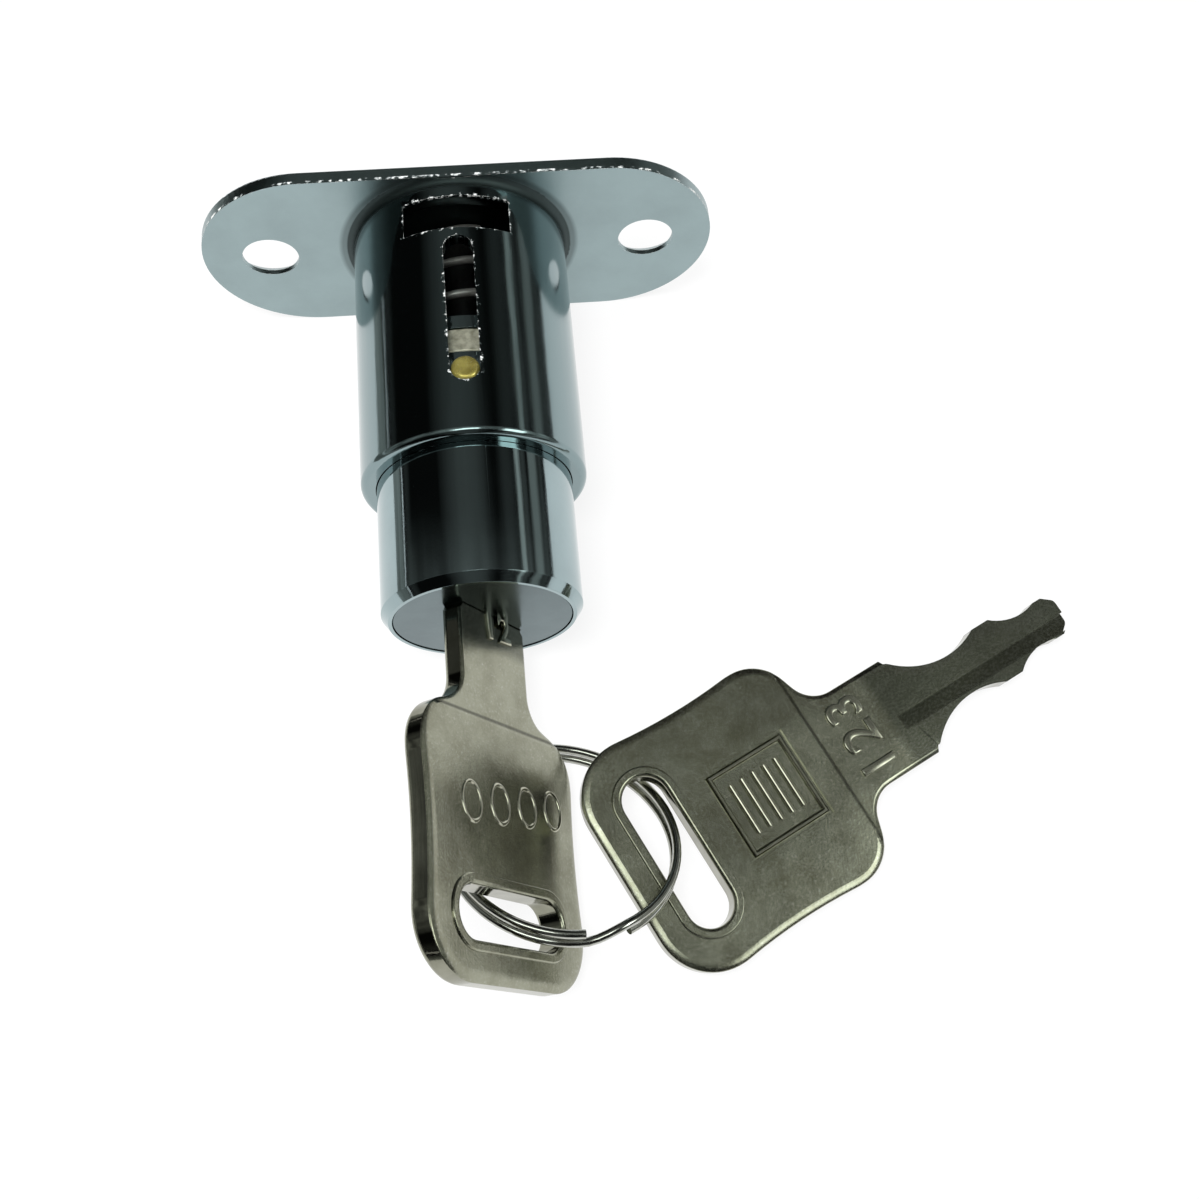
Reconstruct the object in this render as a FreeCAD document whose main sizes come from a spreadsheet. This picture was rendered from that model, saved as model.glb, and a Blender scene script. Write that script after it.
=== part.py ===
import FreeCAD, Part
import math
import os
import Sketcher
from FreeCAD import Placement, Rotation, Vector

# Push lock for sliding doors: a cylinder that is pushed home in a flanged barrel and held there by
# a sprung plate, with its key, a spare key and a split ring. Millimetres.
# Row frame: X along the flange, Y away from the key side, Z up, origin at the middle of the flange's
# front face, on the barrel's axis. Distances "at" a place on the axis are measured from that face
# towards the key.

# Driving sizes, one cell each
SIZES = {
    # Housing
    "flange_length": 53.2,
    "flange_margin": 0.25,
    "flange_thickness": 1.5,
    "flange_round": 0.3,
    "screw_spacing": 39.4,
    "screw_hole_radius": 2.9,
    "screw_sink": 1.0,
    "barrel_radius": 11.0,
    "barrel_length": 28.8,
    "nose_round": 0.7,
    "root_round": 0.8,
    "rear_wall": 1.8,
    "window_width": 10.4,
    "window_at": 2.1,
    "window_length": 3.85,
    # Push cylinder
    "barrel_wall": 1.425,
    "core_clearance": 0.075,
    "core_rear": 15.1,
    "push_travel": 13.2,
    "rim_bevel_depth": 0.9,
    "rim_bevel_width": 0.65,
    "web_thickness": 1.2,
    "plug_floor": 0.89,
    "clip_room": 1.55,
    # Guide pin and its slot
    "guide_pin_radius": 1.4,
    "guide_pin_at": 21.6,
    "guide_pin_grip": 2.5,
    "guide_pin_recess": 0.25,
    "guide_pin_dome": 0.6,
    "slot_clearance": 0.05,
    "slot_end_gap": 0.1,
    # Bolt pin and return spring
    "bolt_radius": 3.25,
    "bolt_clearance": 0.1,
    "bolt_shank_radius": 2.2,
    "bolt_inset": 0.5,
    "bolt_chamfer": 0.5,
    "spring_wire_radius": 0.4,
    "spring_small_radius": 4.35,
    "spring_side_gap": 1.775,
    "spring_turns": 3,
    "spring_phase_angle": 60.0,
    # Locking plate
    "plate_at": 17.8,
    "plate_thickness": 2.5,
    "plate_half_width": 4.8,
    "plate_clearance": 0.1,
    "plate_top_gap": 0.15,
    "plate_bottom": 4.6,
    "plate_slot_floor": 1.0,
    "plate_spring_radius": 0.9,
    "plate_spring_wire_radius": 0.17,
    "plate_spring_turns": 4,
    # Plug and what turns with it
    "key_turn_angle": 57.0,
    "head_rim": 1.1,
    "head_thickness": 1.7,
    "head_inset": 0.1,
    "head_clearance": 0.1,
    "core_wall": 3.0,
    "plug_clearance": 0.05,
    "tail_radius": 3.0,
    "tail_clearance": 0.06,
    "tail_end": 19.35,
    "clip_thickness": 0.5,
    "clip_radius": 4.4,
    "clip_groove_radius": 2.3,
    "clip_gap": 0.05,
    "clip_mouth": 4.0,
    "drive_radius": 1.2,
    "drive_offset": 1.0,
    "drive_depth": 2.0,
    "drive_clearance": 0.08,
    # Wafers
    "wafer_count": 5,
    "wafer_first_in": 4.1,
    "wafer_pitch": 3.1,
    "wafer_thickness": 1.2,
    "wafer_width": 7.0,
    "wafer_clearance": 0.05,
    "wafer_travel": 1.0,
    "wafer_window_gap": 0.15,
    "wafer_notch": 1.4,
    "wafer_ledge": 0.8,
    "wafer_spring_length": 3.1,
    "wafer_spring_radius": 0.42,
    "wafer_spring_wire_radius": 0.09,
    "wafer_spring_turns": 4,
    # Key, the same for both
    "bow_back": 16.2,
    "bow_front": 7.8,
    "bow_front_lean": 1.05,
    "bow_waist_at": 3.7,
    "bow_waist_depth": 0.35,
    "bow_waist_radius": 60.0,
    "bow_waist_blend": 6.0,
    "bow_half_width": 11.7,
    "bow_thickness": 2.3,
    "bow_end_round": 5.6,
    "bow_shoulder_round": 4.5,
    "neck_round": 3.2,
    "stem_thickness": 2.0,
    "stem_from": 7.2,
    "tab_half_width": 5.3,
    "shoulder_at": 17.8,
    "shoulder_gap": 0.05,
    "blade_half_width": 3.1,
    "blade_length": 19.4,
    "blade_root_half_width": 4.6,
    "blade_root_length": 2.4,
    "nose_half_width": 2.15,
    "nose_tip_half_width": 1.25,
    "nose_taper": 1.2,
    "nose_round_at_tip": 0.7,
    "key_clearance": 0.12,
    "key_edge_round": 0.75,
    "first_cut_at": 6.0,
    "first_cut_radius": 8.5,
    "first_cut_root": 2.2,
    "second_cut_at": 15.4,
    "second_cut_radius": 5.5,
    "second_cut_root": 1.85,
    "groove_width": 1.7,
    "groove_depth": 0.5,
    "groove_edge": 0.2,
    "groove_length": 20.4,
    "hole_at": 10.4,
    "hole_half_width": 2.3,
    "hole_half_length": 7.8,
    "rim_width": 1.0,
    "rim_height": 0.2,
    "rim_round": 0.17,
    "hole_round": 0.4,
    "pad_side": 9.4,
    "pad_depth": 0.3,
    # Split ring and how it lies
    "ring_radius": 10.68,
    "ring_wire_radius": 0.42,
    "ring_turn_gap": 0.42,
    "ring_tilt_angle": 25.837,
    "ring_tilt_heading_angle": 66.155,
    "ring_step_heading_angle": 286.0,
    "ring_step_angle": 24.0,
    "ring_in_key_along": -0.079,
    "ring_in_key_across": 1.097,
    "ring_in_key_angle": 237.9,
    # Spare key, lying with its bow on the ring
    "spare_heading_angle": 27.619,
    "spare_pitch_angle": 2.46,
    "spare_roll_angle": 7.828,
    "ring_in_spare_along": 0.722,
    "ring_in_spare_across": 1.597,
    "ring_in_spare_angle": 3.55,
}

doc = FreeCAD.newDocument("push_lock")
sheet = doc.addObject("Spreadsheet::Sheet", "Sizes")
for row, (alias, value) in enumerate(SIZES.items(), 1):
    sheet.set(f"A{row}", alias)
    sheet.set(f"B{row}", str(value))
    sheet.setAlias(f"B{row}", alias)
doc.recompute()

PARTS = []
ORIGIN = Vector(0, 0, 0)
X_AXIS, Y_AXIS, Z_AXIS = Vector(1, 0, 0), Vector(0, 1, 0), Vector(0, 0, 1)
# Lock pieces are drawn with the barrel along Z, key side down, and -Y as the side that lies up
LAID_DOWN = Rotation(X_AXIS, -90)
# The plug's pieces are drawn with the key's width along X
TURNED = LAID_DOWN.multiply(Rotation(Z_AXIS, SIZES["key_turn_angle"]))

# Sizes that follow from the barrel's; the cylinder is as long as its plate, clip, web and blade need
FLANGE_HEIGHT = "(2 * (barrel_radius + flange_margin))"
CORE_RADIUS = "(barrel_radius - barrel_wall - core_clearance)"
HEAD_RADIUS, PLUG_RADIUS = f"({CORE_RADIUS} - head_rim)", f"({CORE_RADIUS} - core_wall)"
PIN_SEAT, PIN_TOP = f"({CORE_RADIUS} - guide_pin_grip)", "(barrel_radius - guide_pin_recess)"
SLOT_DEPTH = f"({CORE_RADIUS} - plate_slot_floor)"
WEB_REAR = "(plate_at + plate_thickness / 2 + clip_room)"
PLUG_REAR = f"({WEB_REAR} + web_thickness + 2 * plug_clearance)"
CORE_FRONT = f"({PLUG_REAR} + plug_floor + 3 * key_clearance + blade_length + shoulder_gap + head_inset)"
WAFER_FIRST = f"({CORE_FRONT} - wafer_first_in)"
SPRING_LARGE = "(barrel_radius - barrel_wall - spring_side_gap - spring_wire_radius)"


def size(expression):
    """Value of an expression in the sheet's cells."""
    return float(sheet.evalExpression(expression))


def bind(feature, **expressions):
    """Tie properties to expressions in the sheet's cells."""
    for name, expression in expressions.items():
        feature.setExpression(name.replace("_of_", "."), cells(expression))
    return feature


def cells(expression):
    """The same expression, with each cell's name led by the sheet's."""
    words, word = [], ""
    for sign in expression + " ":
        if sign.isalnum() or sign == "_":
            word += sign
            continue
        words.append(f"Sizes.{word}" if word in SIZES else word)
        words.append(sign)
        word = ""
    return "".join(words).strip()


def moved(feature, **base):
    """Tie a feature's position to expressions for x, y and z."""
    for direction, expression in base.items():
        feature.setExpression(f"Placement.Base.{direction}", cells(expression))
    return feature


def name_part(feature, label, rotation=LAID_DOWN):
    """Give a finished sub-part its label, and lay it down in the row frame."""
    doc.recompute()
    feature.Label = label
    feature.Placement = Placement(ORIGIN, rotation)
    PARTS.append(feature)
    return feature


# Solids along the axis, from primitives
def rod(radius, start, end):
    """Round bar along Z between two places on the axis."""
    bar = doc.addObject("Part::Cylinder", "Rod")
    bind(bar, Radius=radius, Height=f"({end}) - ({start})")
    return moved(bar, z=start)


def block(x, y, z):
    """Box between a low and a high expression on each axis."""
    box = doc.addObject("Part::Box", "Block")
    bind(box, Length=f"({x[1]}) - ({x[0]})", Width=f"({y[1]}) - ({y[0]})", Height=f"({z[1]}) - ({z[0]})")
    return moved(box, x=x[0], y=y[0], z=z[0])


def cut(base, *tools):
    """Base less its tools, one after the other."""
    for tool in tools:
        step = doc.addObject("Part::Cut", "Cut")
        step.Base, step.Tool = base, tool
        base = step
    return base


def fuse(*shapes):
    """One solid of several that touch."""
    union = doc.addObject("Part::MultiFuse", "Fuse")
    union.Shapes = list(shapes)
    union.Refine = True
    return union


def common(base, tool):
    """What two solids share."""
    both = doc.addObject("Part::Common", "Common")
    both.Base, both.Tool = base, tool
    return both


def turn_about_axis(feature, angle):
    """Turn a feature about the axis by an expression in degrees."""
    feature.Placement = Placement(feature.Placement.Base, Rotation(Z_AXIS, size(angle)))
    return feature


def bevel(base, width, depth, picks):
    """Chamfer of the edges that picks says, width on the first face and depth on the second."""
    doc.recompute()
    edges = [i for i, edge in enumerate(base.Shape.Edges, 1) if picks(edge)]
    chamfer = doc.addObject("Part::Chamfer", "Bevel")
    chamfer.Base = base
    chamfer.Edges = [(i, size(width), size(depth)) for i in edges]
    return chamfer


def is_ring(edge, radius, height):
    """Whether an edge is a full circle of a radius at a height on the axis."""
    if not isinstance(edge.Curve, Part.Circle) or len(edge.Vertexes) != 1:
        return False
    return abs(edge.Curve.Radius - radius) < 1e-6 and abs(edge.Curve.Center.z - height) < 1e-6


# Bodies from sketches
def sketch_on(body, name, plane="XY_Plane", lift="0"):
    """Empty sketch on one of a body's own planes, lifted along the plane's normal."""
    sketch = body.newObject("Sketcher::SketchObject", name)
    plane_feature = next(f for f in body.Origin.OriginFeatures if f.Role == plane)
    sketch.AttachmentSupport = (plane_feature, [""])
    sketch.MapMode = "FlatFace"
    sketch.setExpression("AttachmentOffset.Base.z", cells(lift))
    return sketch


def pin_point(sketch, geometry, point, x, y):
    """Tie one point of a sketch to expressions for its two coordinates."""
    for kind, expression in (("DistanceX", x), ("DistanceY", y)):
        index = sketch.addConstraint(Sketcher.Constraint(kind, -1, 1, geometry, point, size(expression)))
        sketch.renameConstraint(index, f"{kind}{index}")
        sketch.setExpression(f"Constraints.{kind}{index}", cells(expression))


def draw_polygon(sketch, points):
    """Closed outline of straight lines through points given as expressions."""
    corners = [Vector(size(x), size(y), 0) for x, y in points]
    first = sketch.GeometryCount
    for index, corner in enumerate(corners):
        sketch.addGeometry(Part.LineSegment(corner, corners[(index + 1) % len(corners)]), False)
    for index, (x, y) in enumerate(points):
        before = first + (index - 1) % len(points)
        sketch.addConstraint(Sketcher.Constraint("Coincident", before, 2, first + index, 1))
        pin_point(sketch, first + index, 1, x, y)


def draw_circle(sketch, x, y, radius):
    """Circle with its centre and radius given as expressions."""
    circle = Part.Circle(Vector(size(x), size(y), 0), Z_AXIS, size(radius))
    index = sketch.addGeometry(circle, False)
    pin_point(sketch, index, 3, x, y)
    limit = sketch.addConstraint(Sketcher.Constraint("Radius", index, size(radius)))
    sketch.renameConstraint(limit, f"Radius{limit}")
    sketch.setExpression(f"Constraints.Radius{limit}", cells(radius))


def draw_slot(sketch, start, end, radius):
    """Round-ended slot between two centres on a line along X or Y."""
    (x1, y1), (x2, y2) = [(size(x), size(y)) for x, y in (start, end)]
    reach = size(radius)
    along = Vector(x2 - x1, y2 - y1, 0).normalize()
    side = Vector(-along.y, along.x, 0) * reach
    a, b = Vector(x1, y1, 0), Vector(x2, y2, 0)
    first = sketch.addGeometry(Part.LineSegment(a - side, b - side), False)
    sketch.addGeometry(Part.Arc(b - side, b + along * reach, b + side), False)
    sketch.addGeometry(Part.LineSegment(b + side, a + side), False)
    sketch.addGeometry(Part.Arc(a + side, a - along * reach, a - side), False)
    for index in range(4):
        follows = first + (index + 1) % 4
        geometry = sketch.Geometry[first + index]
        ends_at = sketch.getPoint(first + index, 2)
        meets = 1 if sketch.getPoint(follows, 1).distanceToPoint(ends_at) < 1e-6 else 2
        leaves = 2
        if geometry.TypeId == "Part::GeomArcOfCircle":
            arc_start, arc_end = sketch.getPoint(first + index, 1), sketch.getPoint(first + index, 2)
            target = sketch.getPoint(follows, 1)
            leaves = 1 if arc_start.distanceToPoint(target) < arc_end.distanceToPoint(target) else 2
            meets = 1
        sketch.addConstraint(Sketcher.Constraint("Tangent", first + index, leaves, follows, meets))
    for arc, (x, y) in ((first + 3, start), (first + 1, end)):
        pin_point(sketch, arc, 3, x, y)
    limit = sketch.addConstraint(Sketcher.Constraint("Radius", first + 1, reach))
    sketch.renameConstraint(limit, f"Radius{limit}")
    sketch.setExpression(f"Constraints.Radius{limit}", cells(radius))


def pad(body, sketch, length, both_ways=False, away=False):
    """Add the sketch's outline to the body, to one side or evenly to both."""
    feature = body.newObject("PartDesign::Pad", "Pad")
    feature.Profile = sketch
    feature.SideType = "Symmetric" if both_ways else "One side"
    feature.Reversed = away
    bind(feature, Length=length)
    return built(feature)


def pocket(body, sketch, length, both_ways=False, away=False):
    """Cut the sketch's outline from the body, and see that it took something away."""
    before = body.Tip.Shape.Volume
    feature = body.newObject("PartDesign::Pocket", "Pocket")
    feature.Profile = sketch
    feature.SideType = "Symmetric" if both_ways else "One side"
    feature.Reversed = away
    bind(feature, Length=length)
    built(feature)
    if not feature.Shape.Volume < before - 1e-6:
        raise RuntimeError(f"{feature.Name} of {body.Name} cut nothing")
    return feature


def fillet(body, radius, picks):
    """Round the body's edges that picks says."""
    doc.recompute()
    base = body.Tip
    names = [f"Edge{i}" for i, edge in enumerate(base.Shape.Edges, 1) if picks(edge)]
    if not names:
        raise RuntimeError(f"no edge to round on {body.Name}")
    feature = body.newObject("PartDesign::Fillet", "Fillet")
    feature.Base = (base, names)
    bind(feature, Radius=radius)
    return built(feature)


def built(feature):
    """The feature, once it has been built to a valid shape."""
    doc.recompute()
    if feature.Shape.isNull() or not feature.Shape.isValid():
        raise RuntimeError(f"{feature.Name} of {feature.getParent().Name} is not valid")
    return feature


def is_upright(edge, x, y):
    """Whether an edge is straight along Z and stands at x and y, either side of the middle."""
    if not isinstance(edge.Curve, Part.Line) or abs(edge.Curve.Direction.z) < 0.999:
        return False
    place = edge.Vertexes[0].Point
    return abs(place.x - x) < 1e-4 and abs(abs(place.y) - y) < 1e-4


# Wound wire: arcs in pairs from quarter turn to quarter turn
def arc_from(start, tangent, end):
    """Arc that leaves start along tangent and reaches end."""
    chord = end - start
    reach = chord.normalize() if chord.Length else chord
    across = tangent - reach * tangent.dot(reach)
    span = (end - start).Length
    angle = tangent.getAngle(end - start)
    middle = start + (end - start) * 0.5 + across.normalize() * (span / 2 * math.tan(angle / 2))
    return Part.Arc(start, middle, end).toShape()


def pair_of_arcs(start, tangent_in, end, tangent_out):
    """Two arcs that join start to end along both tangents."""
    span = end - start
    both = tangent_in + tangent_out
    spread = 2 * (1 - tangent_in.dot(tangent_out))
    reach = (-span.dot(both) + math.sqrt(span.dot(both) ** 2 + spread * span.dot(span))) / spread
    middle = (start + tangent_in * reach + end - tangent_out * reach) * 0.5
    first = arc_from(start, tangent_in, middle)
    last = arc_from(end, tangent_out * -1, middle)
    return [first, last]


def wire_through(places, headings, wire_radius):
    """Round wire along arcs from place to place, and the least gap between its turns."""
    stations = list(zip(places, headings))
    edges = []
    for (start, leaves), (end, arrives) in zip(stations, stations[1:]):
        edges += pair_of_arcs(start, leaves, end, arrives)
    path = Part.Wire(edges)
    profile = Part.Wire([Part.Circle(places[0], headings[0], wire_radius).toShape()])
    tube = path.makePipeShell([profile], True, False)
    count = 24 * len(places)
    line = path.discretize(Number=count)
    apart = max(2, int(math.pi * 3 * wire_radius / (path.Length / count)) + 1)
    least = min((a - b).Length for i, a in enumerate(line) for b in line[i + apart:])
    return tube, least - 2 * wire_radius


def coil(turns, start_radius, end_radius, height, wire_radius, phase=0.0):
    """Wire wound about Z with an even rise."""
    growth = (end_radius - start_radius) / (turns * 2 * math.pi)
    rise = height / (turns * 2 * math.pi)
    places, headings = [], []
    for step in range(int(turns * 4) + 1):
        angle = step * math.pi / 2
        turned = angle + math.radians(phase)
        radius = start_radius + growth * angle
        outward = Vector(math.cos(turned), math.sin(turned), 0)
        places.append(outward * radius + Z_AXIS * (rise * angle))
        headings.append((outward * growth + Z_AXIS.cross(outward) * radius + Z_AXIS * rise).normalize())
    return wire_through(places, headings, wire_radius)


def split_ring(radius, wire_radius, turn_gap, step_heading, step_angle):
    """Two flat turns of wire about Z, with a short step from the lower to the upper one."""
    half = wire_radius + turn_gap / 2
    flat = 360 - step_angle
    start = step_heading + step_angle / 2
    lower = [(start + flat * quarter / 4, -half) for quarter in range(5)]
    upper = [(start + 360 + flat * quarter / 4, half) for quarter in range(5)]
    places, headings = [], []
    for heading, height in lower + upper:
        outward = Vector(math.cos(math.radians(heading)), math.sin(math.radians(heading)), 0)
        places.append(outward * radius + Z_AXIS * height)
        headings.append(Z_AXIS.cross(outward))
    return wire_through(places, headings, wire_radius)


def wound(label, tube, least, placement):
    """Feature that holds a wound wire's solid."""
    feature = doc.addObject("Part::Feature", "Wound")
    feature.Shape = tube
    feature.Label = label
    feature.Placement = placement
    PARTS.append(feature)
    print(f"{label}: least gap between turns {least:.3f} mm")
    return feature


# Housing: flange and barrel in one casting
def make_housing():
    body = doc.addObject("PartDesign::Body", "Housing")
    blank = sketch_on(body, "FlangeBlank")
    draw_polygon(blank, around("flange_length / 2 + root_round", f"{FLANGE_HEIGHT} / 2 + root_round"))
    pad(body, blank, "flange_thickness")
    barrel = sketch_on(body, "BarrelCircle")
    draw_circle(barrel, "0", "0", "barrel_radius")
    pad(body, barrel, "barrel_length", away=True)
    front, back = -size("barrel_length"), size("flange_thickness")
    fillet(body, "nose_round", lambda e: is_ring(e, size("barrel_radius"), front))
    fillet(body, "root_round", lambda e: is_ring(e, size("barrel_radius"), 0.0))
    outline = sketch_on(body, "FlangeOutline")
    clear = "2 * root_round"
    draw_polygon(outline, around(f"flange_length / 2 + {clear}", f"{FLANGE_HEIGHT} / 2 + {clear}"))
    end = f"(flange_length - {FLANGE_HEIGHT}) / 2"
    draw_slot(outline, (f"-{end}", "0"), (end, "0"), f"{FLANGE_HEIGHT} / 2")
    pocket(body, outline, "4 * flange_thickness", both_ways=True)
    fillet(body, "flange_round", lambda e: is_rim(e, (back,)))
    bore = sketch_on(body, "BoreCircle", lift="-barrel_length")
    draw_circle(bore, "0", "0", f"{CORE_RADIUS} + core_clearance")
    pocket(body, bore, "barrel_length + flange_thickness - rear_wall", away=True)
    bolt = sketch_on(body, "BoltCircle")
    draw_circle(bolt, "0", "0", "bolt_radius + bolt_clearance")
    pocket(body, bolt, "4 * rear_wall", both_ways=True)
    screws = sketch_on(body, "ScrewCircles")
    for side in ("-", ""):
        draw_circle(screws, f"{side}screw_spacing / 2", "0", "screw_hole_radius")
    pocket(body, screws, "4 * flange_thickness", both_ways=True)
    sink_screws(body)
    window = sketch_on(body, "WindowOutline", "XZ_Plane")
    far, near = "-window_at", "-(window_at + window_length)"
    sides = ("-window_width / 2", "window_width / 2")
    draw_polygon(window, [(sides[0], near), (sides[1], near), (sides[1], far), (sides[0], far)])
    pocket(body, window, "barrel_radius + 1", away=True)
    slot = sketch_on(body, "SlotOutline", "XZ_Plane")
    home = "-(guide_pin_at - push_travel - slot_end_gap)"
    out = "-(guide_pin_at + slot_end_gap)"
    draw_slot(slot, ("0", out), ("0", home), "guide_pin_radius + slot_clearance")
    pocket(body, slot, "barrel_radius + 1", away=True)
    return name_part(body, "housing")


def sink_screws(body):
    """Countersink both screw holes from the flange's back, for heads that end flush."""
    doc.recompute()
    base = body.Tip
    back = size("flange_thickness")
    edges = [e for e in enumerate(base.Shape.Edges, 1) if is_ring(e[1], size("screw_hole_radius"), back)]
    sink = body.newObject("PartDesign::Chamfer", "Sink")
    sink.Base = (base, [f"Edge{i}" for i, _ in edges])
    bind(sink, Size="screw_sink")
    built(sink)


def around(x, y):
    """Corners of a rectangle about the middle."""
    return [(f"-({x})", f"-({y})"), (x, f"-({y})"), (x, y), (f"-({x})", y)]


def is_rim(edge, heights):
    """Whether an edge lies flat in the flange's outline at one of the heights."""
    box = edge.BoundBox
    flat = box.ZLength < 1e-6 and any(abs(box.ZMin - height) < 1e-6 for height in heights)
    half = size(f"{FLANGE_HEIGHT} / 2")
    outer = abs(box.YMax) > half - 1e-3 or abs(box.YMin) > half - 1e-3
    return flat and outer


# Push cylinder: carries the plug, the plate, the guide pin and the bolt pin
def make_push_cylinder():
    shell = rod(CORE_RADIUS, f"-{CORE_FRONT}", "-core_rear")
    rim = (size(CORE_RADIUS), -size(CORE_FRONT))
    shell = bevel(shell, "rim_bevel_depth", "rim_bevel_width", lambda e: is_ring(e, *rim))
    recess = rod(f"{HEAD_RADIUS} + head_clearance", f"-{CORE_FRONT} - 1", f"-({HEAD_REAR}) + plug_clearance")
    bore = rod(f"{PLUG_RADIUS} + plug_clearance", f"-{CORE_FRONT}", f"-{PLUG_REAR} + 2 * plug_clearance")
    tail = rod("tail_radius + tail_clearance", f"-{PLUG_REAR}", f"-{WEB_REAR}")
    clip = rod("clip_radius + head_clearance * 5", f"-{WEB_REAR}", f"-({PLATE_FRONT})")
    plate = block(
        ("-plate_half_width - plate_clearance", "plate_half_width + plate_clearance"),
        (f"-{CORE_RADIUS} - 1", SLOT_DEPTH),
        (f"-({PLATE_FRONT}) - plate_clearance", f"-({PLATE_REAR}) + plate_clearance"),
    )
    shank = rod("bolt_shank_radius", f"-({PLATE_REAR})", "-core_rear + 1")
    pin = doc.addObject("Part::Cylinder", "PinSeat")
    bind(pin, Radius="guide_pin_radius", Height=CORE_RADIUS)
    pin.Placement = Placement(ORIGIN, Rotation(X_AXIS, 90))
    moved(pin, y=f"-{PIN_SEAT}", z="-guide_pin_at")
    grooves = [wafer_groove("0"), wafer_groove("90")]
    return name_part(cut(shell, recess, bore, tail, clip, plate, shank, pin, *grooves), "push_cylinder")


HEAD_REAR = f"{CORE_FRONT} - head_inset - head_thickness"
PLATE_FRONT = "plate_at + plate_thickness / 2"
PLATE_REAR = "plate_at - plate_thickness / 2"
LAST_WAFER = f"{WAFER_FIRST} - (wafer_count - 1) * wafer_pitch"
WAFER_REACH = f"{PLUG_RADIUS} + wafer_travel + wafer_clearance * 4"


def wafer_groove(turn):
    """Room in the cylinder's bore for wafers that stand out, on both sides of the plug."""
    half = "(wafer_width / 2 + wafer_clearance * 4)"
    front = f"-({HEAD_REAR}) - 1"
    groove = block(
        (f"-({WAFER_REACH})", WAFER_REACH),
        (f"-{half}", half),
        (front, f"-({LAST_WAFER}) + wafer_thickness * 1.4"),
    )
    holder = doc.addObject("Part::MultiFuse", "Groove")
    holder.Shapes = [groove, rod(PLUG_RADIUS, front, f"-({LAST_WAFER})")]
    return turn_about_axis(holder, f"key_turn_angle + {turn}")


# Bolt pin: riveted in the cylinder's rear disc, comes out of the flange when the cylinder is pushed
def make_bolt_pin():
    stem = rod("bolt_radius", "-core_rear", "flange_thickness - bolt_inset")
    end = (size("bolt_radius"), size("flange_thickness - bolt_inset"))
    stem = bevel(stem, "bolt_chamfer", "bolt_chamfer", lambda e: is_ring(e, *end))
    shank = rod("bolt_shank_radius", f"-({PLATE_REAR}) + plate_clearance", "-core_rear")
    return name_part(fuse(stem, shank), "bolt_pin")


# Guide pin: brass, pressed into the cylinder, runs in the barrel's slot
def make_guide_pin():
    body = doc.addObject("PartDesign::Body", "GuidePin")
    circle = sketch_on(body, "PinCircle", lift=PIN_SEAT)
    draw_circle(circle, "0", "0", "guide_pin_radius")
    pad(body, circle, f"{PIN_TOP} - {PIN_SEAT}")
    top = size(PIN_TOP)
    fillet(body, "guide_pin_dome", lambda e: is_ring(e, size("guide_pin_radius"), top))
    name_part(body, "guide_pin", Rotation())
    return moved(body, y="-guide_pin_at")


# Return spring: a cone of wire whose turns nest as it is pressed flat
def make_return_spring():
    wire = size("spring_wire_radius")
    small_end = size("flange_thickness - rear_wall") - wire
    large_end = -size("core_rear") + wire
    tube, least = coil(
        size("spring_turns"), size("spring_small_radius"), size(SPRING_LARGE),
        small_end - large_end, wire, size("spring_phase_angle"),
    )
    seat = Placement(Vector(0, small_end, 0), Rotation(X_AXIS, 90))
    return wound("return_spring", tube, least, seat)


# Locking plate: slides up and down behind the plug, pushed up by its spring, drawn in by the drive pin
def make_locking_plate():
    slab = block(
        ("-plate_half_width", "plate_half_width"),
        (f"-{CORE_RADIUS}", "plate_bottom"),
        (f"-({PLATE_FRONT})", f"-({PLATE_REAR})"),
    )
    reach = rod(f"{CORE_RADIUS} + core_clearance - plate_top_gap", f"-({PLATE_FRONT})", f"-({PLATE_REAR})")
    room = "(drive_radius + drive_clearance)"
    window = block(
        (f"-drive_offset - {room}", f"drive_offset * 0.3 + {room}"),
        (f"-{DRIVE_SIDE} - {room}", f"-{DRIVE_SIDE} + {room}"),
        (f"-({PLATE_FRONT}) - 1", f"-({PLATE_REAR}) + 1"),
    )
    return name_part(cut(common(slab, reach), window), "locking_plate")


DRIVE_SIDE = "(drive_offset * sqrt(0.5))"


def make_plate_spring():
    wire = size("plate_spring_wire_radius")
    length = size(f"{SLOT_DEPTH} - plate_bottom") - 2 * wire
    radius = size("plate_spring_radius")
    tube, least = coil(size("plate_spring_turns"), radius, radius, length, wire)
    foot = Vector(0, -size("plate_at"), -size(SLOT_DEPTH) + wire)
    return wound("locking_plate_spring", tube, least, Placement(foot, Rotation()))


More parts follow.
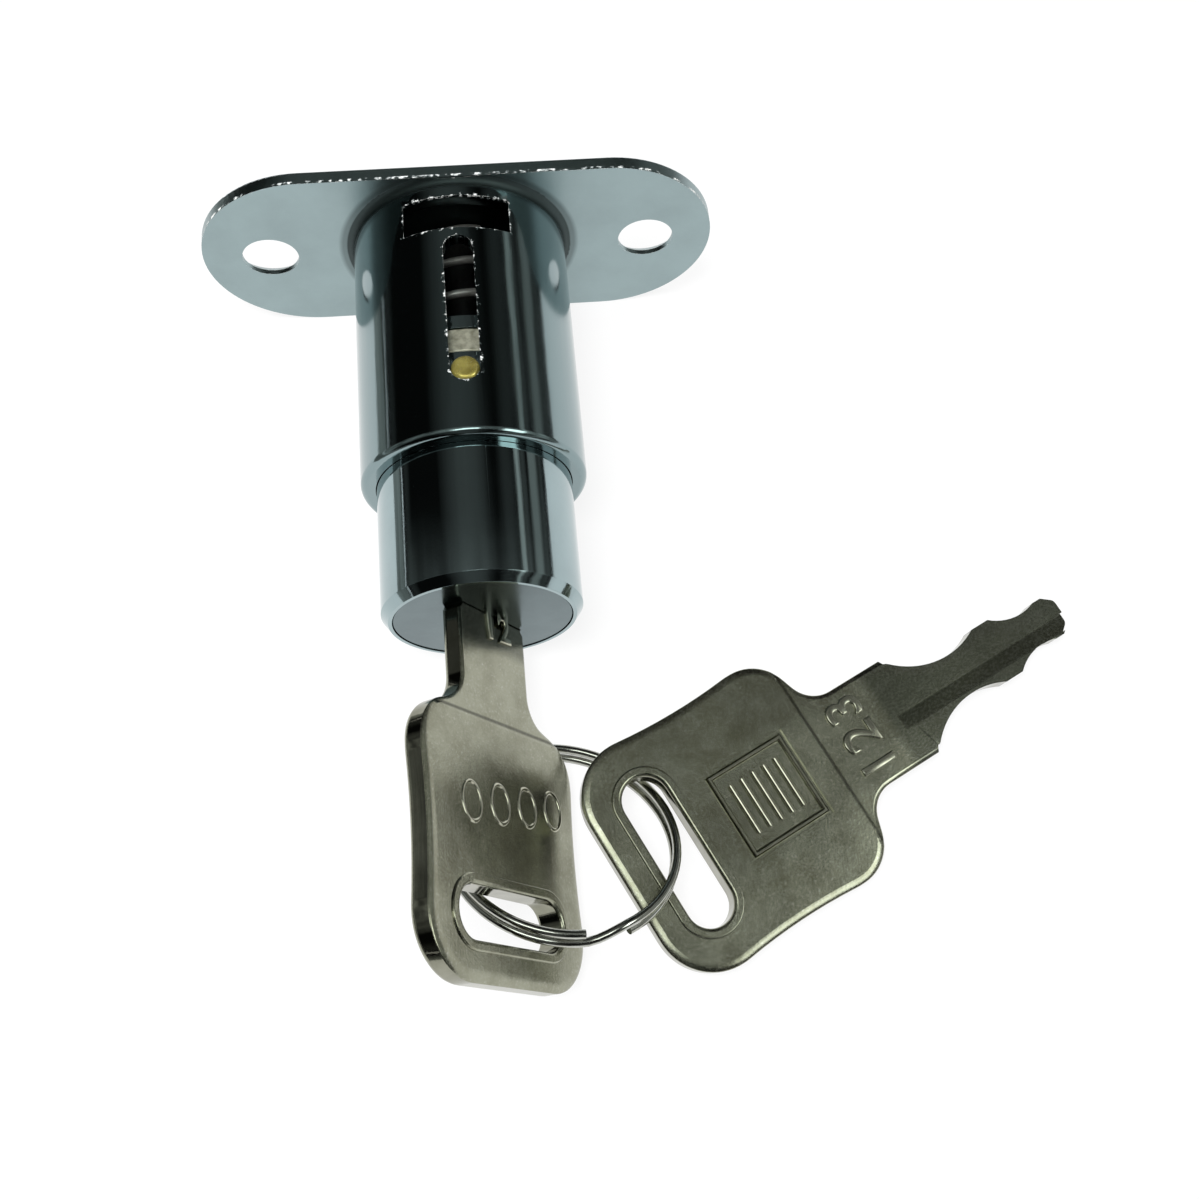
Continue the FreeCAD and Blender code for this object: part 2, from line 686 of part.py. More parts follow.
# Plug: head disc, round body with keyway and wafer slots, and tail
def make_plug():
    head = rod(HEAD_RADIUS, f"-{CORE_FRONT} + head_inset", f"-({HEAD_REAR})")
    barrel = rod(PLUG_RADIUS, f"-({HEAD_REAR})", f"-{PLUG_REAR}")
    tail = rod("tail_radius", f"-{PLUG_REAR}", "-tail_end")
    turned = fuse(head, barrel, tail)
    groove = cut(
        rod("tail_radius + 1", CLIP_FRONT, CLIP_REAR),
        rod("clip_groove_radius", CLIP_FRONT, CLIP_REAR),
    )
    keyway = block(
        ("-blade_half_width - key_clearance", "blade_half_width + key_clearance"),
        ("-stem_thickness / 2 - key_clearance", "stem_thickness / 2 + key_clearance"),
        (f"-{CORE_FRONT}", f"-{PLUG_REAR} - plug_floor"),
    )
    mouth = block(
        ("-blade_root_half_width - key_clearance", "blade_root_half_width + key_clearance"),
        ("-stem_thickness / 2 - key_clearance", "stem_thickness / 2 + key_clearance"),
        (f"-{CORE_FRONT}", f"-{CORE_FRONT} + head_inset + shoulder_gap + blade_root_length + key_clearance"),
    )
    slots = [wafer_slot(index) for index in range(int(SIZES["wafer_count"]))]
    drive = rod("drive_radius", "-tail_end - drive_depth", "-tail_end + 1")
    angle = "(225 - key_turn_angle)"
    moved(drive, x=f"drive_offset * cos({angle} * 1 deg)", y=f"drive_offset * sin({angle} * 1 deg)")
    return name_part(cut(turned, groove, keyway, mouth, drive, *slots), "plug", TURNED)


CLIP_FRONT = f"-{WEB_REAR} + clip_gap"
CLIP_REAR = f"-{WEB_REAR} + 2 * clip_gap + clip_thickness"


def wafer_middle(index):
    """Expression for a wafer's place on the axis."""
    return f"(-{WAFER_FIRST} + {index} * wafer_pitch)"


def wafer_side(index):
    """Wafers stand out to the two sides by turns: sign along the key's width."""
    return 1 if index % 2 == 0 else -1


def span(low, high, side):
    """Low and high expressions, mirrored for the wafers that move the other way."""
    return (low, high) if side > 0 else (f"-({high})", f"-({low})")


LEDGE_FROM = "(wafer_spring_length / 2 + wafer_travel * 0.5)"


def wafer_slot(index):
    """Slot across the plug for one wafer, with the ledge that its spring stands on left in."""
    middle, side = wafer_middle(index), wafer_side(index)
    half = "(wafer_thickness / 2 + wafer_clearance)"
    width = "(wafer_width / 2 + wafer_clearance)"
    z = (f"{middle} - {half}", f"{middle} + {half}")
    opening = block((f"-{PLUG_RADIUS} - 1", f"{PLUG_RADIUS} + 1"), (f"-{width}", width), z)
    ledge = block(
        span(f"-{LEDGE_FROM} + wafer_clearance", f"-{LEDGE_FROM} + wafer_ledge", side),
        ("wafer_width / 2 - wafer_notch + wafer_clearance", f"{width} + 1"),
        z,
    )
    return cut(opening, ledge)


# Wafers: each has a window for the blade and a notch for its spring
def make_wafer(index):
    middle, side = wafer_middle(index), wafer_side(index)
    z = (f"{middle} - wafer_thickness / 2", f"{middle} + wafer_thickness / 2")
    sheet_metal = common(
        block((f"-{PLUG_RADIUS}", PLUG_RADIUS), ("-wafer_width / 2", "wafer_width / 2"), z),
        rod(f"{PLUG_RADIUS} - wafer_clearance", *z),
    )
    edge = "(blade_half_width + wafer_window_gap)"
    through = (f"{middle} - wafer_thickness", f"{middle} + wafer_thickness")
    half = "(stem_thickness / 2 + wafer_window_gap * 2)"
    window = block(span(f"-{edge} - wafer_travel", edge, side), (f"-{half}", half), through)
    notch = block(
        span(f"-{LEDGE_FROM} - wafer_travel", f"-{LEDGE_FROM} + wafer_ledge + wafer_spring_length", side),
        ("wafer_width / 2 - wafer_notch", "wafer_width / 2 + 1"),
        through,
    )
    return name_part(cut(sheet_metal, window, notch), f"wafer_{index + 1}", TURNED)


def make_wafer_spring(index):
    """Small coil between the plug's ledge and the end of the wafer's notch."""
    wire, radius = size("wafer_spring_wire_radius"), size("wafer_spring_radius")
    length = size("wafer_spring_length") - 2 * wire
    tube, least = coil(size("wafer_spring_turns"), radius, radius, length, wire)
    side = wafer_side(index)
    start = side * (size(f"-{LEDGE_FROM} + wafer_ledge") + wire)
    across = size("(wafer_width - wafer_notch) / 2 + wafer_clearance")
    foot = Vector(start, across, size(wafer_middle(index)))
    stand = Placement(ORIGIN, TURNED).multiply(Placement(foot, Rotation(Y_AXIS, 90 * side)))
    return wound(f"wafer_spring_{index + 1}", tube, least, stand)


# Clip that holds the plug's tail behind the cylinder's web
def make_plug_clip():
    disc = rod("clip_radius", f"{CLIP_FRONT} + clip_gap / 2", f"{CLIP_REAR} - clip_gap / 2")
    behind = (f"-{PLUG_REAR}", "-tail_end")
    hole = rod("clip_groove_radius + clip_gap", *behind)
    mouth = block(("0", "clip_radius + 1"), ("-clip_mouth / 2", "clip_mouth / 2"), behind)
    return name_part(cut(disc, hole, mouth), "plug_clip", TURNED)


# Drive pin: off centre in the plug's tail, reaches into the locking plate's window
def make_drive_pin():
    pin = rod("drive_radius", "-tail_end - drive_depth", f"-({PLATE_REAR})")
    label = name_part(pin, "drive_pin")
    label.Placement = Placement(Vector(0, 0, 0), LAID_DOWN)
    moved(label, x=f"-{DRIVE_SIDE}", z=DRIVE_SIDE, y="-tail_end - drive_depth")
    return label


# Key blank, seen from its face: length along X with the tip at +X, width along Y, thickness along Z
def make_key(label, placement):
    body = doc.addObject("PartDesign::Body", "Key")
    outline = sketch_on(body, "BowOutline")
    shoulder, neck = "bow_front - bow_front_lean", "bow_front + bow_front_lean"
    draw_mirrored(outline, [
        ("-bow_back", "bow_half_width"), (shoulder, "bow_half_width"),
        (neck, "tab_half_width"), ("shoulder_at", "tab_half_width"),
    ])
    pad(body, outline, "bow_thickness", both_ways=True)
    draw_in_waist(body)
    bow = size("bow_half_width")
    fillet(body, "bow_end_round", lambda e: is_upright(e, -size("bow_back"), bow))
    fillet(body, "bow_shoulder_round", lambda e: is_upright(e, size(shoulder), bow))
    fillet(body, "neck_round", lambda e: is_upright(e, size(neck), size("tab_half_width")))
    round_edges(body)
    thin_stem(body)
    add_blade(body)
    make_hole(body)
    plain_square(body)
    doc.recompute()
    body.Label = label
    body.Placement = placement
    PARTS.append(body)
    return body


def draw_mirrored(sketch, points):
    """Closed outline through points on one side of the key's middle line and their mirror images."""
    draw_polygon(sketch, points + [(x, f"-({y})") for x, y in reversed(points)])


def draw_in_waist(body):
    """Shallow hollow along both sides of the bow, blended into the straight ends."""
    waist = sketch_on(body, "BowWaist")
    for sign in ("", "-"):
        middle = f"{sign}(bow_half_width - bow_waist_depth + bow_waist_radius)"
        draw_circle(waist, "-bow_waist_at", middle, "bow_waist_radius")
    pocket(body, waist, "2 * bow_thickness", both_ways=True)
    radius = size("bow_waist_radius")
    reach = math.sqrt(radius**2 - (radius - size("bow_waist_depth")) ** 2)
    ends = [-size("bow_waist_at") + side * reach for side in (-1, 1)]
    half = size("bow_half_width")
    fillet(body, "bow_waist_blend", lambda e: any(is_upright(e, end, half) for end in ends))


def round_edges(body):
    """Round the outline of bow and tab on both faces, up to the shoulder."""
    face, shoulder = size("bow_thickness / 2"), size("shoulder_at")

    def on_face(edge):
        box = edge.BoundBox
        flat = box.ZLength < 1e-6 and abs(abs(box.ZMin) - face) < 1e-6
        return flat and box.XMin < shoulder - 1e-3

    fillet(body, "key_edge_round", on_face)


def thin_stem(body):
    """Step down from the bow to the thinner stem on both faces."""
    wide = ("-bow_half_width", "bow_half_width")
    far = "shoulder_at + 1"
    for side in (1, -1):
        sign = "" if side > 0 else "-"
        step = sketch_on(body, "StemStep", lift=f"{sign}(stem_thickness / 2)")
        draw_polygon(step, [("stem_from", wide[0]), (far, wide[0]), (far, wide[1]), ("stem_from", wide[1])])
        pocket(body, step, "bow_thickness", away=side > 0)


def add_blade(body):
    """Blade with the same cuts in both edges, so that it goes in either way up, and a groove in each face."""
    blade = sketch_on(body, "BladeOutline")
    tip = "shoulder_at + blade_length"
    root, cut_place = "shoulder_at + blade_root_length", "shoulder_at + second_cut_at"
    draw_mirrored(blade, [
        ("shoulder_at - stem_thickness", "blade_root_half_width"), (root, "blade_root_half_width"),
        (root, "blade_half_width"), (cut_place, "blade_half_width"), (cut_place, "nose_half_width"),
        (f"{tip} - nose_taper", "nose_half_width"), (tip, "nose_tip_half_width"),
    ])
    pad(body, blade, "stem_thickness", both_ways=True)
    cuts = sketch_on(body, "BladeCuts")
    for name in ("first", "second"):
        for sign in ("", "-"):
            middle = f"{sign}({name}_cut_root + {name}_cut_radius)"
            draw_circle(cuts, f"shoulder_at + {name}_cut_at", middle, f"{name}_cut_radius")
    pocket(body, cuts, "2 * bow_thickness", both_ways=True)
    fillet(body, "nose_round_at_tip", lambda e: is_upright(e, size(tip), size("nose_tip_half_width")))
    for side in (1, -1):
        sign = "" if side > 0 else "-"
        groove = sketch_on(body, "BladeGroove", lift=f"{sign}(stem_thickness / 2 - groove_depth)")
        start = f"{tip} - groove_length"
        near, far = f"-{sign}groove_edge", f"-{sign}(groove_edge + groove_width)"
        near, far = near.replace("--", ""), far.replace("--", "")
        draw_polygon(groove, [(start, near), (f"{tip} + 1", near), (f"{tip} + 1", far), (start, far)])
        pocket(body, groove, "bow_thickness", away=side > 0)


def make_hole(body):
    """Long hole across the bow for the ring, with a raised rim on both faces."""
    reach = "(hole_half_length - hole_half_width)"
    ends = (("-hole_at", f"-{reach}"), ("-hole_at", reach))
    rim = sketch_on(body, "HoleRim")
    draw_slot(rim, *ends, "hole_half_width + rim_width")
    pad(body, rim, "bow_thickness + 2 * rim_height", both_ways=True)
    hole = sketch_on(body, "HoleOutline")
    draw_slot(hole, *ends, "hole_half_width")
    pocket(body, hole, "2 * bow_thickness", both_ways=True)
    top = size("bow_thickness / 2 + rim_height")
    inner = size("hole_half_length") + size("rim_width") / 2

    def on_rim(edge, outside):
        box = edge.BoundBox
        reach = max(abs(box.YMin), abs(box.YMax))
        flat = box.ZLength < 1e-6 and abs(abs(box.ZMin) - top) < 1e-6
        across = max(abs(box.XMin + size("hole_at")), abs(box.XMax + size("hole_at")))
        wide = across > size("hole_half_width + rim_width / 2") or reach > inner
        return flat and wide == outside

    fillet(body, "rim_round", lambda e: on_rim(e, True))
    fillet(body, "hole_round", lambda e: on_rim(e, False))


def plain_square(body):
    """Bare sunk square in the middle of the bow's face."""
    square = sketch_on(body, "SquarePad", lift="bow_thickness / 2 - pad_depth")
    half = "pad_side / 2"
    corners = [(f"-{half}", f"-{half}"), (half, f"-{half}"), (half, half), (f"-{half}", half)]
    draw_polygon(square, corners)
    pocket(body, square, "bow_thickness", away=True)


def in_lock():
    """Key home in the plug: length along the axis, width along the plug's wafers."""
    along = Rotation(Z_AXIS, X_AXIS, Y_AXIS, "ZXY")
    origin = Vector(0, 0, -size(f"{CORE_FRONT} - head_inset + shoulder_gap + shoulder_at"))
    return Placement(ORIGIN, TURNED).multiply(Placement(origin, along))


# Split ring: two turns of wire through both keys' holes
def ring_pose(key_placement):
    """Ring's own frame: its wire passes through the key's hole, and its plane leans."""
    heading = math.radians(size("ring_tilt_heading_angle"))
    lean = Rotation(Vector(-math.sin(heading), math.cos(heading), 0), size("ring_tilt_angle"))
    through = Vector(-size("hole_at - ring_in_key_along"), size("ring_in_key_across"), 0)
    to_wire = lean.multVec(on_circle("ring_in_key_angle"))
    return Placement(key_placement.multVec(through) - to_wire, lean)


def on_circle(heading):
    """Place on the ring's middle circle, in its own plane, at a heading in degrees."""
    angle = math.radians(size(heading))
    return Vector(math.cos(angle), math.sin(angle), 0) * size("ring_radius")


def make_key_ring(pose):
    names = ("ring_radius", "ring_wire_radius", "ring_turn_gap", "ring_step_heading_angle", "ring_step_angle")
    tube, least = split_ring(*(size(name) for name in names))
    return wound("key_ring", tube, least, pose)


def on_ring(pose):
    """Spare key's frame: lies tilted, with the ring's wire through its hole."""
    turn = Rotation(Z_AXIS, size("spare_heading_angle"))
    turn = turn.multiply(Rotation(Y_AXIS, size("spare_pitch_angle")))
    turn = turn.multiply(Rotation(X_AXIS, size("spare_roll_angle")))
    through = Vector(-size("hole_at - ring_in_spare_along"), size("ring_in_spare_across"), 0)
    return Placement(pose.multVec(on_circle("ring_in_spare_angle")) - turn.multVec(through), turn)


make_housing()
make_push_cylinder()
make_bolt_pin()
make_guide_pin()
make_return_spring()
make_locking_plate()
make_plate_spring()
make_plug()
make_plug_clip()
make_drive_pin()
for wafer in range(int(SIZES["wafer_count"])):
    make_wafer(wafer)
    make_wafer_spring(wafer)
key_home = in_lock()
make_key("key", key_home)
ring = ring_pose(key_home)
make_key_ring(ring)
make_key("spare_key", on_ring(ring))
doc.recompute()

for item in doc.Objects:
    if "Invalid" in item.State or "Error" in item.State:
        raise RuntimeError(f"{item.Name} ({item.Label}) did not build: {item.State}")
for piece in PARTS:
    if piece.Shape.isNull() or not piece.Shape.isValid() or not piece.Shape.Solids:
        raise RuntimeError(f"{piece.Label} has no valid solid")
os.makedirs("parts", exist_ok=True)
for piece in PARTS:
    piece.Shape.exportStep(f"parts/{piece.Label}.step")
    print(f"{piece.Label}: {len(piece.Shape.Solids)} solid, {piece.Shape.Volume:.1f} mm3")
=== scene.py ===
"""Push lock for a sliding door with its two keys, dressed for a studio picture.

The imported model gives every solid, body and joint. The classes below give each sub-assembly its smooth
shells, wound wire, raised marks and finishes, then set the table, the light and the camera.
"""

import logging
import math
from dataclasses import dataclass
from enum import Enum
from typing import Any, Callable

import bmesh
import bpy
from mathutils import Matrix, Vector


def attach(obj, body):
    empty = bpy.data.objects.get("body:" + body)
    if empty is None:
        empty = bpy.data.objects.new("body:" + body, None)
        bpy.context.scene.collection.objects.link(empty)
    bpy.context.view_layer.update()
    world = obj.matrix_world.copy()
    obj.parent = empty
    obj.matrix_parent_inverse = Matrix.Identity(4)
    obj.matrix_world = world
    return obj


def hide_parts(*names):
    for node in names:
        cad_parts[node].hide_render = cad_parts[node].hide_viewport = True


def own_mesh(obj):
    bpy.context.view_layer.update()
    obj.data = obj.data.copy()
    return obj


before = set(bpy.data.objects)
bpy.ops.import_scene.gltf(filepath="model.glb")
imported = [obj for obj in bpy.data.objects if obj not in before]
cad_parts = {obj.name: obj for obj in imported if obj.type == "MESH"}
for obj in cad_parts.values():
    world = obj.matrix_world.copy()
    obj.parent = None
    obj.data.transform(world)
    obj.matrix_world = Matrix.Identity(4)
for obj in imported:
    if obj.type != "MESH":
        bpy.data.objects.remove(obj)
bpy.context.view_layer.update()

log = logging.getLogger("push_lock")
Colour = tuple[float, float, float]
Place = tuple[float, float, float]
Rows = tuple[tuple[float, float, float, float], ...]
Socket = bpy.types.NodeSocket
Tree = bpy.types.NodeTree
Mesh = bpy.types.Mesh
Skin = bmesh.types.BMesh
Piece = bpy.types.Object
Material = bpy.types.Material

WHITE = (1.0, 1.0, 1.0, 1.0)
MM = 0.001
WELD = 1e-7  # metres between vertices that are one
FLAT = math.radians(0.2)  # bend below which an edge goes
SHARP = math.radians(35)  # bend from which an edge is rounded
TOP = (0.004, 0.006)  # metres of height over which the marks of the barrel's top begin
KEY_PLAN = "plan"  # UV map with each key's length and width, the same on both faces
PLAN_SCALE = 0.01  # of the map to a millimetre
PLUG_TURN = 57.0  # degrees of the keyway from flat
CHIP_SCALE = 1900.0  # crumbs in a metre
CHIP_REACH = 0.00045  # metres from an opening's rim over which its chips thin out
DENT_SCALE = 160.0  # dents in a metre
DENT_GAIN = 8.0
STEPS_PER_TURN = 72  # of a wound wire
PATTERN_SOCKETS = (
    "Stain Amount", "Mark Scale", "Roughness", "Roughness Spread", "Line Scale", "Line Depth",
    "Grit Scale", "Grit Depth", "Dent Depth", "Flecks",
)
OPENING_SOCKETS = ("Middle", "Half Width", "Half Length", "Corner")
SOCKET_WORDS = {float: "Float", int: "Int", tuple: "Color", type(None): "Material"}


# Node trees


@dataclass
class Graph:
    """Node tree under construction."""

    tree: Tree

    def node(self, kind: str, inputs: dict[Any, Any] | None = None, **settings: Any) -> bpy.types.Node:
        """Add a node.

        Args:
            kind: The node's type name.
            inputs: Socket name or index to a value, or to the socket that feeds it.
            settings: Properties of the node.

        Returns:
            The new node.
        """
        node = self.tree.nodes.new(kind)
        for name, value in settings.items():
            setattr(node, name, value)
        for name, value in (inputs or {}).items():
            if isinstance(value, Socket):
                self.tree.links.new(value, node.inputs[name])
            else:
                node.inputs[name].default_value = value
        return node

    def first(self, kind: str, inputs: dict[Any, Any] | None = None, **settings: Any) -> Socket:
        """Add a node and return its first output."""
        return self.node(kind, inputs, **settings).outputs[0]

    def math(self, operation: str, *values: Any) -> Socket:
        """Add a Math node and return its result."""
        return self.first("ShaderNodeMath", dict(enumerate(values)), operation=operation)

    def plus(self, first: Any, second: Any) -> Socket:
        """Return a sum."""
        return self.math("ADD", first, second)

    def minus(self, first: Any, second: Any) -> Socket:
        """Return a difference."""
        return self.math("SUBTRACT", first, second)

    def times(self, first: Any, second: Any) -> Socket:
        """Return a product."""
        return self.math("MULTIPLY", first, second)

    def over(self, first: Any, second: Any) -> Socket:
        """Return a quotient."""
        return self.math("DIVIDE", first, second)

    def apart(self, first: Any, second: Any) -> Socket:
        """Return the distance between two values."""
        return self.math("ABSOLUTE", self.minus(first, second))

    def vector(self, **parts: Any) -> Socket:
        """Return the vector of X, Y and Z, each 0 unless given."""
        return self.first("ShaderNodeCombineXYZ", parts)

    def ramp(self, factor: Socket, low: float, high: float) -> Socket:
        """Return the factor spread from 0 at low to 1 at high, and clamped."""
        inputs = {"Value": factor, "From Min": low, "From Max": high}
        return self.node("ShaderNodeMapRange", inputs).outputs["Result"]

    def noise(self, place: Socket, scale: Any, detail: float, roughness: float) -> Socket:
        """Return a noise between about 0.2 and 0.8 over a place."""
        inputs = {"Vector": place, "Scale": scale, "Detail": detail, "Roughness": roughness}
        return self.node("ShaderNodeTexNoise", inputs).outputs["Fac"]

    def mix(self, factor: Any, first: Any, second: Any) -> Socket:
        """Return a colour between two, by the second one's share."""
        inputs = {0: factor, 6: first, 7: second}
        return self.node("ShaderNodeMix", inputs, data_type="RGBA").outputs[2]

    def tube(self, curve: Socket, points: int, radius: Socket) -> Socket:
        """Return a round tube along a curve, closed at loose ends."""
        ring = self.first("GeometryNodeCurvePrimitiveCircle", {"Resolution": points, "Radius": radius})
        swept = {"Curve": curve, "Profile Curve": ring, "Fill Caps": True}
        return self.first("GeometryNodeCurveToMesh", swept)

    def finish(self, geometry: Socket, material: Socket) -> Tree:
        """End a geometry tree: make its instances real and give it its material.

        Args:
            geometry: What the tree has made.
            material: The material.

        Returns:
            The finished tree.
        """
        solid = self.first("GeometryNodeRealizeInstances", {"Geometry": geometry})
        painted = self.first("GeometryNodeSetMaterial", {"Geometry": solid, "Material": material})
        self.node("NodeGroupOutput", {"Geometry": painted})
        return self.tree


def new_group(name: str, kind: str, inputs: dict[str, Any], outputs: dict[str, str]) -> tuple[Graph, Any]:
    """Make a node group with named sockets.

    Args:
        name: The group's name.
        kind: The tree's type name.
        inputs: Socket name to its default value, which tells its type: None for a material.
        outputs: Socket name to its type's last word.

    Returns:
        The graph of the new group, and its inputs by name.
    """
    graph = Graph(bpy.data.node_groups.new(name, kind))
    sockets = graph.tree.interface
    for title, default in inputs.items():
        word = SOCKET_WORDS[type(default)]
        socket = sockets.new_socket(title, in_out="INPUT", socket_type=f"NodeSocket{word}")
        if default is not None:
            socket.default_value = default
    for title, word in outputs.items():
        sockets.new_socket(title, in_out="OUTPUT", socket_type=f"NodeSocket{word}")
    return graph, graph.node("NodeGroupInput").outputs


def new_material(name: str) -> tuple[Material, Graph]:
    """Make an empty material.

    Args:
        name: The material's name.

    Returns:
        The material and its graph.
    """
    material = bpy.data.materials.new(name)
    material.use_nodes = True
    graph = Graph(material.node_tree)
    graph.tree.nodes.clear()
    return material, graph


def rgba(colour: Colour) -> tuple[float, float, float, float]:
    """Return the colour with full cover."""
    return (*colour, 1.0)


# Finishes


def handled_metal_group() -> Tree:
    """Build the marks that every metal shares.

    Returns:
        A group with uneven plating, smudges, slow dents, fine lines, grit, and flecks that are painted
        glints.
    """
    inputs = {"Colour": WHITE, "Stain": WHITE, **dict.fromkeys(PATTERN_SOCKETS, 0.0)}
    outputs = {"Colour": "Color", "Roughness": "Float", "Height": "Float", "Fleck": "Float"}
    graph, given = new_group("handled_metal", "ShaderNodeTree", inputs, outputs)
    place = graph.node("ShaderNodeTexCoord").outputs["Object"]
    blotch = graph.noise(place, given["Mark Scale"], 5.0, 0.6)
    grit = graph.noise(place, given["Grit Scale"], 2.0, 0.6)
    speck = graph.times(graph.ramp(grit, 0.62, 0.74), 0.35)
    cover = graph.times(graph.ramp(blotch, 0.40, 0.68), given["Stain Amount"])
    colour = graph.mix(cover, given["Colour"], given["Stain"])
    colour = graph.mix(graph.times(speck, given["Grit Depth"]), colour, rgba((1.0, 1.0, 0.96)))
    smudge = graph.noise(place, graph.times(given["Mark Scale"], 0.37), 3.0, 0.5)
    more = graph.times(given["Roughness Spread"], graph.ramp(smudge, 0.38, 0.68))
    rough = graph.plus(given["Roughness"], more)
    stretched = graph.first("ShaderNodeMapping", {"Vector": place, "Scale": (1.0, 0.06, 1.0)})
    lines = graph.times(graph.noise(stretched, given["Line Scale"], 4.0, 0.5), given["Line Depth"])
    dents = graph.times(graph.noise(place, DENT_SCALE, 2.0, 0.4), graph.times(given["Dent Depth"], DENT_GAIN))
    height = graph.plus(graph.plus(lines, dents), graph.times(grit, given["Grit Depth"]))
    # Flecks: specks later painted in the near-white fleck colour, as glints.
    fleck = graph.times(graph.ramp(grit, 0.47, 0.56), given["Flecks"])
    graph.node("NodeGroupOutput", {"Colour": colour, "Roughness": rough, "Height": height, "Fleck": fleck})
    return graph.tree


def chipped_rim_group() -> Tree:
    """Build the mask of the chips in the plating round an opening in the barrel's top.

    Returns:
        A group whose mask is 1 on the chips.
    """
    inputs = dict.fromkeys(OPENING_SOCKETS, 0.001)
    graph, given = new_group("chipped_rim", "ShaderNodeTree", inputs, {"Mask": "Float"})
    place = graph.node("ShaderNodeTexCoord").outputs["Object"]
    parts = graph.node("ShaderNodeSeparateXYZ", {0: place}).outputs
    across = graph.minus(graph.math("ABSOLUTE", parts["X"]), given["Half Width"])
    along = graph.minus(graph.apart(parts["Y"], given["Middle"]), given["Half Length"])
    square = graph.plus(
        graph.math("POWER", graph.math("MAXIMUM", across, 0.0), 2.0),
        graph.math("POWER", graph.math("MAXIMUM", along, 0.0), 2.0),
    )
    away = graph.minus(graph.math("SQRT", square), given["Corner"])
    near = graph.ramp(away, CHIP_REACH, 0.0)
    crumbs = graph.noise(place, CHIP_SCALE, 4.0, 0.7)
    chips = graph.ramp(graph.plus(crumbs, graph.times(near, 0.2)), 0.71, 0.76)
    upper = graph.ramp(parts["Z"], *TOP)
    held = graph.times(graph.math("MINIMUM", 1.0, graph.times(near, 6.0)), upper)
    graph.node("NodeGroupOutput", {"Mask": graph.times(chips, held)})
    return graph.tree


@dataclass(frozen=True)
class Marks:
    """Effects that several metals share."""

    handled: Tree
    chipped: Tree


@dataclass
class Surface:
    """What a metal is like so far, and what further marks are made with."""

    graph: Graph
    marks: Marks
    colour: Socket
    roughness: Socket
    height: Socket
    bare_and_glints: Socket


@dataclass(frozen=True)
class MetalFinish:
    """Plated or bare metal with the marks of handling.

    Scales in the pattern are per metre, and bump is in metres.
    """

    name: str
    colour: Colour
    stain: Colour
    roughness: float
    roughness_spread: float = 0.06
    stain_amount: float = 0.3
    mark_scale: float = 260.0
    line_scale: float = 2200.0
    line_depth: float = 0.5
    grit_scale: float = 6000.0
    grit_depth: float = 0.1
    dent_depth: float = 0.3
    bump: float = 0.00001
    flecks: float = 0.0
    metallic: float = 1.0
    # Near-white colour of the bare spots: chipped plating, and specks painted light as glints.
    fleck: Colour = (0.86, 0.88, 0.86)
    fleck_roughness: float = 0.25
    fleck_dullness: float = 0.75

    def material(self, marks: Marks) -> Material:
        """Build the finish's material.

        Args:
            marks: The groups of marks that the metals share.

        Returns:
            The new material.
        """
        material, graph = new_material(self.name)
        values = {title: getattr(self, title.lower().replace(" ", "_")) for title in PATTERN_SOCKETS}
        values |= {"Colour": rgba(self.colour), "Stain": rgba(self.stain)}
        painted_light_and_marks = graph.node("ShaderNodeGroup", values, node_tree=marks.handled).outputs
        surface = Surface(graph, marks, *painted_light_and_marks)
        self.add_marks(surface)
        bump = graph.first("ShaderNodeBump", {"Height": surface.height, "Distance": self.bump})
        shader = graph.first(
            "ShaderNodeBsdfPrincipled",
            {
                "Base Color": graph.mix(surface.bare_and_glints, surface.colour, rgba(self.fleck)),
                "Roughness": graph.plus(surface.roughness, graph.times(surface.bare_and_glints, self.fleck_roughness)),
                "Metallic": graph.minus(self.metallic, graph.times(surface.bare_and_glints, self.fleck_dullness)),
                "Normal": bump,
            },
        )
        graph.node("ShaderNodeOutputMaterial", {"Surface": shader})
        return material

    def add_marks(self, surface: Surface) -> None:
        """Plain metal has no more marks than the shared ones."""


